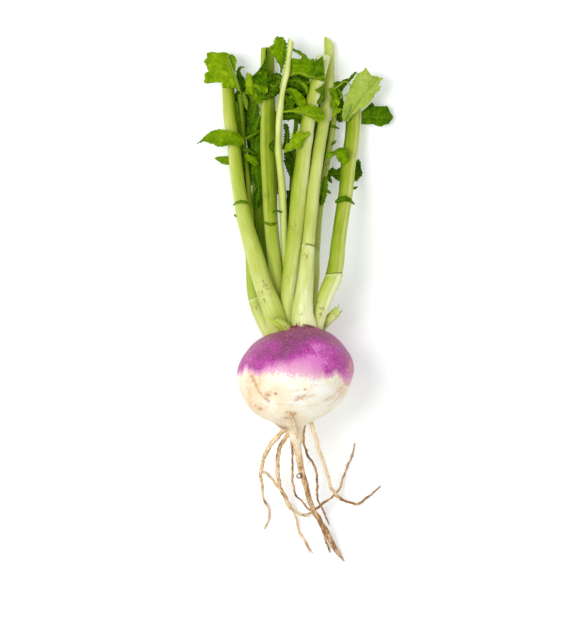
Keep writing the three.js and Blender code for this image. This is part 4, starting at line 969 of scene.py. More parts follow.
# ---------- the side roots ----------
SIDE_ROOTS = [
    ("side_root_left_outer", ROOT_PALE, [
        [-5.2, -32, 37.5, 3.8], [-7.7, -35, 36.8, 3.3], [-13.5, -40.8, 34, 3.1], [-18.7, -49.1, 29, 2.7],
        [-21.3, -56.2, 23.4, 2.4], [-22.6, -63.2, 17.4, 2.1], [-21.6, -70.3, 11.4, 1.7],
        [-20.3, -80.6, 5, 1.4], [-17.4, -87, 2.2, 1.3], [-17.1, -92.2, 1.2, 1.2], [-20.3, -99.6, 0.8, 0.8]]),
    ("side_root_left_inner", ROOT_PALE, [
        [-3.4, -33.5, 39.6, 3.6], [-5.2, -37.6, 38.6, 3.2], [-9, -43.4, 35.2, 2.8], [-11.3, -51, 29.4, 2.6],
        [-11.6, -58.8, 23, 2.5], [-10.7, -69, 15.6, 2.3], [-8.4, -75.5, 11.4, 2.3], [-5.2, -81.9, 7.8, 3.1],
        [-2, -87, 5.4, 2.2], [1.9, -89.6, 4.4, 1.6], [6.4, -90.5, 4, 1.5], [10.9, -88.3, 4, 1.3]]),
    ("side_root_left_link", ROOT_PALE, [
        [-22, -61.8, 18, 1.6], [-19.4, -62.6, 16.8, 1.6], [-16.1, -65.4, 15.6, 1.5], [-13, -69.6, 15.2, 1.5],
        [-10.8, -73, 13.4, 1.4]]),
    ("side_root_left_branch", ROOT_PALE, [
        [-0.9, -89, 4.6, 1.5], [0.9, -94.8, 3, 1.4], [1.9, -99.9, 1.7, 1.3], [4.7, -105, 1.1, 1.6],
        [8.3, -111.5, 0.9, 1.5], [10.9, -115, 0.8, 1]]),
    ("side_root_centre_thin", ROOT_TAN, [
        [-1.8, -38, 38.2, 1.9], [-2.7, -41.8, 37, 1.6], [-2.3, -47.2, 33.6, 1.4], [-1.9, -57.5, 26.4, 1.3],
        [-1.7, -69, 18, 1.3], [0, -76.1, 13.6, 1.2], [5.1, -82.6, 10.2, 1.2], [9.6, -87.2, 8.6, 1.1]]),
    ("side_root_crossing", ROOT_TAN, [
        [12, -86.6, 15.6, 1.7], [14.6, -85.2, 14.2, 1.7], [18.5, -82.6, 11, 1.6], [25, -77.4, 6.6, 1.6],
        [28.5, -73.5, 4.8, 1.5], [30.8, -66.5, 2.6, 1.3], [34, -57.5, 1.2, 1.2], [37.2, -50.4, 0.9, 1],
        [38.4, -43.7, 0.8, 0.8]]),
    ("side_root_centre_right", ROOT_TAN, [
        [7.2, -28.5, 37, 2.4], [5.3, -34.5, 35.2, 1.7], [5.3, -40, 31.6, 1.6], [8, -51.7, 24.2, 1.6],
        [12.2, -58.1, 19.6, 1.5], [13.8, -63.9, 16, 1.4], [14.1, -73.5, 10, 1.3], [14.4, -80, 6.6, 1.3],
        [17.3, -86.4, 3.6, 1.2], [19.8, -91.5, 1.8, 1], [21.8, -97, 0.9, 0.7]]),
    ("side_root_right", ROOT_PALE, [
        [9, -28, 38.2, 3.4], [10.6, -33, 37, 2.8], [12.8, -38.9, 34.4, 2.6], [15.3, -47.2, 29.6, 2.5],
        [18.5, -57.5, 22.8, 2.3], [21.8, -67.7, 16, 2.2], [25, -75.5, 10.8, 2.1], [28.9, -79.3, 8, 1.8],
        [34, -81.9, 5, 1.6], [41.4, -82.9, 2.2, 1.5], [46.9, -78.7, 1.1, 1.2], [55.2, -71.6, 0.8, 0.8]]),
    ("side_root_low", ROOT_TAN, [
        [17.4, -99.6, 9.2, 1.3], [19, -105, 5.4, 1.2], [21.4, -111.5, 2, 1.1], [22.2, -114.7, 1, 0.8]]),
    ("rootlet_on_neck", ROOT_NECK, [
        [-4.2, -22.9, 62.6, 1.6], [-2.6, -26.9, 58.3, 2.2], [-0.9, -30.7, 50.7, 2.3],
        [0.4, -34.8, 44.6, 2.1], [1.2, -39.4, 40.3, 1.5]]),
]

CLEAN = {"side_root_right": 52}  # mm from the bulb that are nearly white
FEW_HAIRS = 3
HAIRS = {"side_root_left_outer": 9, "side_root_left_inner": 10, "side_root_right": 9, "side_root_crossing": 5,
         "side_root_centre_right": 7, "side_root_centre_thin": 4, "side_root_left_branch": 5}
THREAD_WIDTH = 1.15
THREAD_SEED = 60

# ---------- the leaf blades ----------
# Rows of (name, seed, tone, ruffle, teeth, veins, other settings, rib, left outline, right outline). A low
# tone is partly the leaf's own deep green and partly painted shade on blades that lie under others.
BLADES = [
    ("leaf_left_tip", 1, 0.75, 0.9, 0.7, 4, dict(fold=0.18, droop=2.2, veined=0.6, rib_width=1.3),
     [[-36.4, 185, 12.6], [-39.7, 193.4, 14.8], [-43.4, 200.8, 15.6], [-43.4, 209, 13.4]],
     [[-37, 185.4], [-40.1, 187.4], [-47.2, 186.8], [-48, 190.5], [-52, 190.6], [-57.7, 189.7],
      [-59.6, 190.5], [-58.9, 193.8], [-59.4, 195.7], [-56.4, 197.9], [-57.6, 200.6], [-59.6, 204.2],
      [-57.3, 206.9], [-57.8, 209.3], [-54.8, 210.6], [-50.3, 209.8], [-46.2, 210.3], [-43.7, 209.4]],
     [[-35.9, 185.2], [-37.4, 190], [-38.9, 195.4], [-39, 199.5], [-38.2, 204.8], [-39.1, 207.4],
      [-41.3, 209.1], [-43.1, 208.6]]),
    ("leaf_left_crossing", 2, 0.56, 0.9, 0.7, 4, dict(fold=-0.1, veined=0.2),
     [[-33.8, 151.3, 15.4], [-37.5, 152.6, 19], [-42, 154, 20.4], [-52, 155.3, 17], [-59, 153.3, 12.5],
      [-64, 151.2, 9]],
     [[-34, 150.2], [-36, 149], [-39, 149.6], [-42.4, 150], [-46.5, 149], [-50.6, 148.6], [-52.8, 150.4],
      [-56.6, 151.4], [-59.5, 152.4], [-63.7, 150.9]],
     [[-33.6, 152.6], [-33.9, 154.5], [-36.8, 157], [-41, 158.6], [-45.8, 159.9], [-49.9, 160.1],
      [-54.3, 159.3], [-58.4, 156.4], [-61.8, 152.7], [-63.9, 151.5]]),
    ("leaf_left_small", 3, 0.58, 0.5, 0.7, 3, {},
     [[-42.6, 140, 12.4], [-47, 140.8, 11.4], [-52.6, 141.5, 8]],
     [[-42.5, 137], [-45, 137.2], [-47.4, 137.5], [-50.5, 139.6], [-52.5, 141.2]],
     [[-42.5, 142.8], [-46, 142.9], [-49.8, 142.7], [-52.5, 141.8]]),
    ("leaf_left_curl", 4, 0.2, 0.6, 0.7, 3, dict(rib_width=0.5),
     [[-35.6, 187.6, 7.5], [-36.2, 192, 9.5], [-36.9, 196.8, 11], [-35.8, 199.8, 11.5], [-33.2, 200.8, 11]],
     [[-37.4, 187.7], [-38.3, 193], [-38.4, 198], [-36.6, 201], [-33.3, 201.1]],
     [[-32.6, 187.4], [-32, 190.6], [-33, 193.4], [-35.4, 196.4], [-35.8, 198.6], [-34.8, 199.8],
      [-33.1, 200.4]]),
    ("leaf_inner_left", 5, 0.6, 1.8, 1.5, 4, dict(pitch=2.0, fold=0.14),
     [[-18, 189.5, 14.8], [-22, 190, 14.4], [-27, 190, 12.6], [-32, 191, 9.8]],
     [[-18, 184], [-20.4, 183], [-22, 178.6], [-24, 175.6], [-26.4, 178], [-27.4, 182.5], [-30, 181],
      [-31.6, 185], [-32.4, 189.6]],
     [[-18, 195.6], [-20.8, 198.6], [-23.6, 197], [-26.4, 194.4], [-29, 195.4], [-31.2, 197.2],
     [-32.6, 193]]),
    ("leaf_gap_dark", 6, 0.34, 1.6, 1.3, 3, dict(fold=0.2, pitch=1.8),
     [[-9.6, 193, 15.5], [-13.6, 189, 14.5], [-18.6, 182, 15.3]],
     [[-9.4, 190.6], [-11.5, 184.8], [-14.5, 181.4], [-18, 180.8]],
     [[-11, 195.8], [-15, 196.2], [-17.6, 193.4], [-18.2, 188], [-19.2, 183]]),
    ("leaf_top_serrated", 7, 0.66, 1.3, 1.9, 5, dict(fold=0.24, pitch=2.4),
     [[-9.3, 196.5, 20], [-8.9, 208, 20.6], [-8, 219.6, 19.2]],
     [[-9.8, 197.5], [-10.3, 202.2], [-12.2, 203.6], [-12.8, 206], [-15.4, 208.4], [-16.2, 211],
      [-16.4, 213.8], [-14.2, 215.6], [-13.9, 218.2], [-12.6, 220.2], [-9.6, 220.1], [-8.2, 219.9]],
     [[-8.8, 196.8], [-7.4, 201], [-6, 205], [-5.4, 210], [-5.3, 214], [-6.2, 217], [-7.6, 219.6]]),
    ("leaf_top_right", 8, 0.58, 1.5, 1.2, 5, dict(pitch=2.0, veined=0.9, rib_width=1.1),
     [[-4.6, 194.6, 22.9], [1.9, 196.6, 22.5], [9.2, 194.2, 21.6], [18.9, 192.4, 20]],
     [[-4.9, 195.4], [-4.6, 200], [-4.2, 204.3], [-2.2, 206.2], [0.5, 205.8], [3.2, 205.4], [4.8, 207.4],
      [6.2, 208.9], [7.6, 206.2], [9.3, 205.2], [11.7, 206], [12.4, 204.2], [14.2, 205], [17.7, 207.6],
      [18.2, 203], [18, 199], [19.4, 195.4], [18.9, 193]],
     [[-4.7, 194], [-1.5, 195.2], [2.5, 195.4], [6, 193.8], [9.5, 192.6], [13, 192.4], [15.6, 191.6],
      [18.5, 190.8]]),
    ("leaf_centre_dark", 9, 0.36, 1.8, 1.3, 3, dict(fold=0.12, pitch=1.9, cup=0.05),
     [[-5.5, 191.6, 18.4], [1, 189.4, 16.6], [7.8, 188.6, 15]],
     [[-4.6, 194.4], [0, 194.6], [4, 193.8], [7.6, 191.6]],
     [[-6.2, 188.4], [-2.6, 184], [1.6, 183], [5.6, 182], [9, 183.6], [8.4, 187.6]]),
    ("leaf_centre_curled", 10, 0.72, 1.2, 1.1, 3, dict(fold=0.2, pitch=1.8, rib_width=0.7),
     [[-7, 185.4, 23.4], [-3.1, 185, 22.8], [-0.3, 182.2, 21.8], [1.3, 179.1, 21.2], [2.6, 175.2, 20.8]],
     [[-6.8, 186], [-3.1, 186.8], [0.7, 185.8], [3.6, 183], [6.2, 180], [7, 177.2], [5.3, 175.2],
      [3.1, 174.8]], [[-7, 184.6], [-4.4, 183.4], [-2.2, 181.4], [-0.6, 178.8], [0.2, 176.4], [2, 174.8]]),
    ("leaf_right_ribbed", 11, 0.66, 1.1, 0.9, 5, dict(fold=-0.08, veined=0.9, rib_width=1.2),
     [[-8, 171.2, 25.6], [-2.5, 171.8, 25.8], [3.5, 170.8, 25.6], [11, 169, 25], [18.6, 168.4, 22.6]],
     [[-7.8, 171.8], [-4.5, 172.7], [-0.2, 173.6], [4, 175.2], [8.4, 176.6], [11, 174.8], [12.9, 175.5],
      [14.8, 173.6], [16.8, 174.6], [17.6, 171.4], [18.9, 169.8]],
     [[-7.8, 170.6], [-2.5, 171], [3, 169.9], [7.8, 168.4], [10.6, 166.6], [12.6, 165.8], [15.1, 163.8],
      [16.6, 165], [18.4, 166], [18.8, 167.4]]),
    ("leaf_small_bright", 12, 0.84, 1.0, 1.1, 4, dict(veined=0.3, fold=0.16, pitch=1.6),
     [[-7.4, 145.2, 27.8], [-1, 149.8, 28.6], [4.5, 153.8, 29.2], [9.6, 157, 28.8]],
     [[-7.3, 146.4], [-6.6, 149], [-5.4, 151.6], [-4.4, 150], [-3.2, 153], [-2.3, 158], [-0.6, 156.4],
      [1.3, 159.6], [3, 157.4], [5, 157.8], [8.4, 158.4], [9.5, 157.4]],
     [[-6.8, 144.6], [-4, 145.8], [-0.2, 147.2], [2, 147.4], [4.2, 148.6], [3.4, 150.4], [5.8, 153],
      [7.6, 155.2], [9.4, 156.4]]),
    ("leaf_lacy_dark", 13, 0.22, 1.4, 1.6, 2, dict(pitch=1.7, rib_width=0.4),
     [[-7.6, 147, 21], [-5.6, 153, 18.8], [-5.4, 159, 18.6], [-7.4, 163.4, 18.8]],
     [[-8.8, 147.4], [-7.6, 153], [-7.2, 158.6], [-8, 162.6]],
     [[-6.2, 146.8], [-3.4, 152.6], [-3.8, 158.6], [-5, 163.2], [-7, 164.2]]),
    ("leaf_low_dark", 14, 0.2, 1.4, 1.6, 3, dict(pitch=1.8, rib_width=0.5),
     [[-6.4, 145, 17], [-4.4, 139, 15.4], [-1.2, 134.6, 14.6]],
     [[-4.8, 145], [-2.6, 141.6], [-2, 138.4], [0.4, 136.6]],
     [[-7.6, 144.6], [-7, 139], [-4.6, 135], [-2, 133.2]]),
    ("leaf_on_stalk", 15, 0.2, 0.6, 0.8, 2, dict(pitch=1.6, rib_width=0.4),
     [[-13.6, 145.4, 21.2], [-15.4, 149, 21.8], [-14.6, 152.8, 21.4]],
     [[-14.4, 145], [-17.2, 147.2], [-17.4, 150], [-15.2, 152.8]],
     [[-13, 145.8], [-13.2, 149.6], [-14, 152.8]]),
    ("leaf_under_rib", 16, 0.2, 0.9, 0.8, 2, dict(rib_width=0.5),
     [[-8, 168.4, 20], [-2, 168.6, 18.6], [4, 167.4, 17.6]], [[-8, 170.4], [-2, 171], [4.2, 169.6]],
     [[-8.2, 166], [-4.6, 165.8], [-1.6, 166.4], [0.8, 164.4], [3.2, 163.4], [4, 165.6]]),
    ("leaf_right_tip", 17, 0.62, 0.8, 0.7, 6, dict(veined=1.0, under=True, rib_width=0.9, droop=0.8),
     [[33, 165.6, 13.4], [39.1, 175.1, 15.4], [44.9, 183.4, 16.6], [50.7, 189.4, 15.6], [53.6, 194, 13.8]],
     [[31, 165.6], [29.8, 168.9], [30.9, 175.6], [32.8, 181.2], [35.8, 188.2], [37.2, 191.5], [40.1, 196.6],
      [43.4, 197.5], [45.5, 200.5], [47.1, 197.8], [49.1, 195.1], [53.3, 194.6]],
     [[33.8, 164.9], [37, 169.4], [41.6, 173.4], [45.1, 173.9], [48.4, 177.9], [50.8, 180.8], [51.7, 183.2],
      [54.7, 185.5], [55.4, 188], [53.8, 188.6], [55.4, 191.8], [57.4, 193.4], [54.2, 193.8]]),
    ("leaf_right_dark", 18, 0.28, 0.9, 0.4, 5, dict(rib_width=0.5),
     [[42.8, 168, 6.8], [49.9, 168.4, 7.4], [57.4, 167.8, 6.4], [63.4, 168.2, 4]],
     [[42.8, 171.8], [45.6, 174], [48, 176.4], [49.9, 178], [51.6, 175.4], [55, 175.3], [59.8, 175.6],
      [61, 172.6], [62.4, 170.4], [63.5, 168.6]],
     [[42.6, 163.6], [46, 163.4], [50.5, 163.6], [53, 162.4], [55.6, 161.9], [58, 163.2], [60.6, 163.8],
      [62, 165.8], [63.5, 167.8]]),
    ("leaf_dark_strip", 19, 0.2, 1.0, 0.6, 3, {},
     [[25.8, 187, 8.6], [30, 188.8, 10], [34, 192, 10.8], [39.5, 197.5, 11]],
     [[25, 190.4], [27, 191.6], [29.2, 191.2], [31.8, 192.9], [34.5, 193.3], [37, 196.2], [39.2, 197.9]],
     [[25.2, 184.6], [26.9, 184], [28.9, 183], [31.6, 187], [33.2, 188.8], [34.6, 190.8], [37.2, 193.2],
      [39.8, 197.1]]),
    ("leaf_dark_hanging", 20, 0.14, 0.9, 0.6, 2, dict(rib_width=0.3),
     [[29.4, 182.5, 6], [29.2, 173, 5], [29, 165, 3.8]],
     [[30.4, 182.5], [31.8, 176], [31.6, 170], [30.4, 165]],
     [[28.4, 182.5], [26.6, 176], [26.8, 170], [27.8, 165]]),
    ("leaf_right_curled", 21, 0.58, 1.3, 0.9, 3, {},
     [[24.6, 186.6, 15], [26, 181, 14.8], [24.2, 174, 13.6]],
     [[26, 186.6], [27.6, 182.6], [28, 179.6], [26.2, 175.6], [24.8, 173.6]],
     [[22.4, 187], [22, 183], [23.6, 180.6], [22.4, 177], [23.4, 173.8]]),
    ("leaf_right_spike", 22, 0.2, 0.4, 0.3, 1, dict(rib_width=0.3),
     [[22.4, 162.6, 12.4], [25, 162, 12.2], [28.3, 160.8, 10.8]],
     [[22.6, 163.6], [25.4, 162.8], [28.3, 161.2]], [[22.4, 161.8], [25.2, 160.8], [28.2, 160.4]]),
    ("leaf_right_mid", 23, 0.5, 1.2, 1.2, 3, dict(fold=-0.14, pitch=2.0),
     [[20.3, 144.2, 17.2], [24, 143.8, 18.4], [28, 145, 19.8], [34.4, 142, 20.6]],
     [[20.2, 147.4], [21.8, 145.2], [24, 145.6], [27, 147.6], [29.6, 148.2], [32.2, 147.8], [34.4, 144.6],
      [34.8, 142.6]],
     [[20, 141.2], [22.6, 141.2], [25.4, 143], [27, 143.4], [26.4, 141.4], [28.4, 138.6], [31, 137.6],
      [34, 138], [34.6, 141.2]]),
    ("leaf_right_behind", 24, 0.22, 1.2, 1.2, 4, dict(pitch=2.0),
     [[20.8, 130.8, 10.8], [28, 131.5, 8.8], [36, 131, 6.4], [43.2, 131.4, 5]],
     [[21.6, 133.6], [24, 135.8], [26.5, 134.2], [30, 136], [34, 137], [38, 137.6], [40.6, 141.2],
      [42.4, 139.4], [42.6, 135], [43.6, 132.2]],
     [[21, 128.4], [24, 129.8], [27, 127], [31, 125.6], [35, 126], [38.4, 126.4], [41, 127.6],
     [43.4, 130.6]]),
    ("leaf_right_serrated", 25, 0.46, 1.8, 1.7, 4, dict(fold=0.2, pitch=1.9, rib_width=0.6),
     [[19.6, 129.6, 18.2], [18.4, 120, 19], [16.6, 110.6, 20]],
     [[20.6, 129.6], [21.4, 124], [20.4, 117], [18.6, 112], [17, 110.4]],
     [[18.6, 129.6], [16.6, 124], [15.4, 118], [15.2, 113], [16.2, 110.4]]),
    ("leaf_wrap_right", 26, 0.34, 0.1, 0.3, 1, dict(rib_width=0.2),
     [[25.8, 112.5, 23.6], [28.4, 114.2, 26.8], [32, 115.2, 27.6], [35.2, 113.8, 26.4], [38, 111.4, 21]],
     [[25.4, 113.4], [28, 116.2], [32, 117.2], [35.8, 115], [38.4, 111.8]],
     [[26.2, 111.8], [29, 112.6], [32, 113.4], [35, 112.8], [37.6, 111]]),
    ("leaf_spike_far_right", 27, 0.2, 0.3, 0.3, 1, dict(rib_width=0.3),
     [[37, 121.6, 20.4], [38.6, 122, 20], [40.4, 122.8, 19.4]], [[37, 122.6], [38.8, 123], [40.4, 123.1]],
     [[37, 120.8], [38.8, 121], [40.4, 122.4]]),
    ("leaf_wrap_left", 28, 0.5, 0.3, 0.3, 1, dict(rib_width=0.4),
     [[-40.4, 110.8, 24.6], [-38.4, 112.4, 29.2], [-34.9, 113, 30.9], [-31.6, 112.4, 29.4],
      [-29.5, 111.2, 25]],
     [[-40.4, 110.4], [-38.2, 111.6], [-34.8, 112.2], [-31.8, 111.6], [-29.7, 110.8]],
     [[-40.4, 111.2], [-38.5, 113.2], [-35, 114.2], [-31.3, 113.4], [-29.3, 111.7]]),
    ("leaf_wrap_centre", 29, 0.36, 0.3, 0.3, 1, dict(rib_width=0.4),
     [[-20.9, 100.2, 24.4], [-19, 98.9, 27.6], [-16, 98.3, 29], [-13.2, 98.7, 27.8], [-11.4, 99.8, 24.6]],
     [[-20.8, 99.8], [-18.9, 98.1], [-16, 97.2], [-13, 97.9], [-11.4, 99.4]],
     [[-21, 100.6], [-19.1, 99.8], [-16, 99.2], [-13.4, 99.6], [-11.4, 100.2]]),
    ("leaf_shadow_left", 30, 0.2, 1.2, 0.8, 3, {}, [[-23.6, 169, 12.6], [-26, 161, 11.4], [-29, 153, 11]],
     [[-22, 168.6], [-22.2, 163], [-24, 158], [-27.4, 152.6]],
     [[-25.4, 169.6], [-29, 166], [-31.6, 161], [-31.4, 155], [-29.8, 152.6]]),
    ("leaf_pale_edge", 31, 0.58, 1.0, 0.7, 2, dict(rib_width=0.5),
     [[-33, 143.6, 14], [-28.6, 140.6, 14.8], [-24, 137.8, 14.2]],
     [[-33.4, 142.4], [-30, 138.6], [-26, 136], [-24.2, 137]],
     [[-32.6, 144.6], [-28, 143], [-24.8, 141], [-23.6, 138.6]]),
    ("leaf_low_left_dark", 32, 0.2, 1.0, 0.8, 3, {},
     [[-23.8, 122, 15], [-24.8, 116, 15.6], [-25.6, 109.4, 16]],
     [[-22.4, 121.8], [-21.4, 116.6], [-22.2, 111.6], [-25, 109]],
     [[-25.2, 122], [-27.8, 117.4], [-28, 112], [-26.2, 109]]),
]
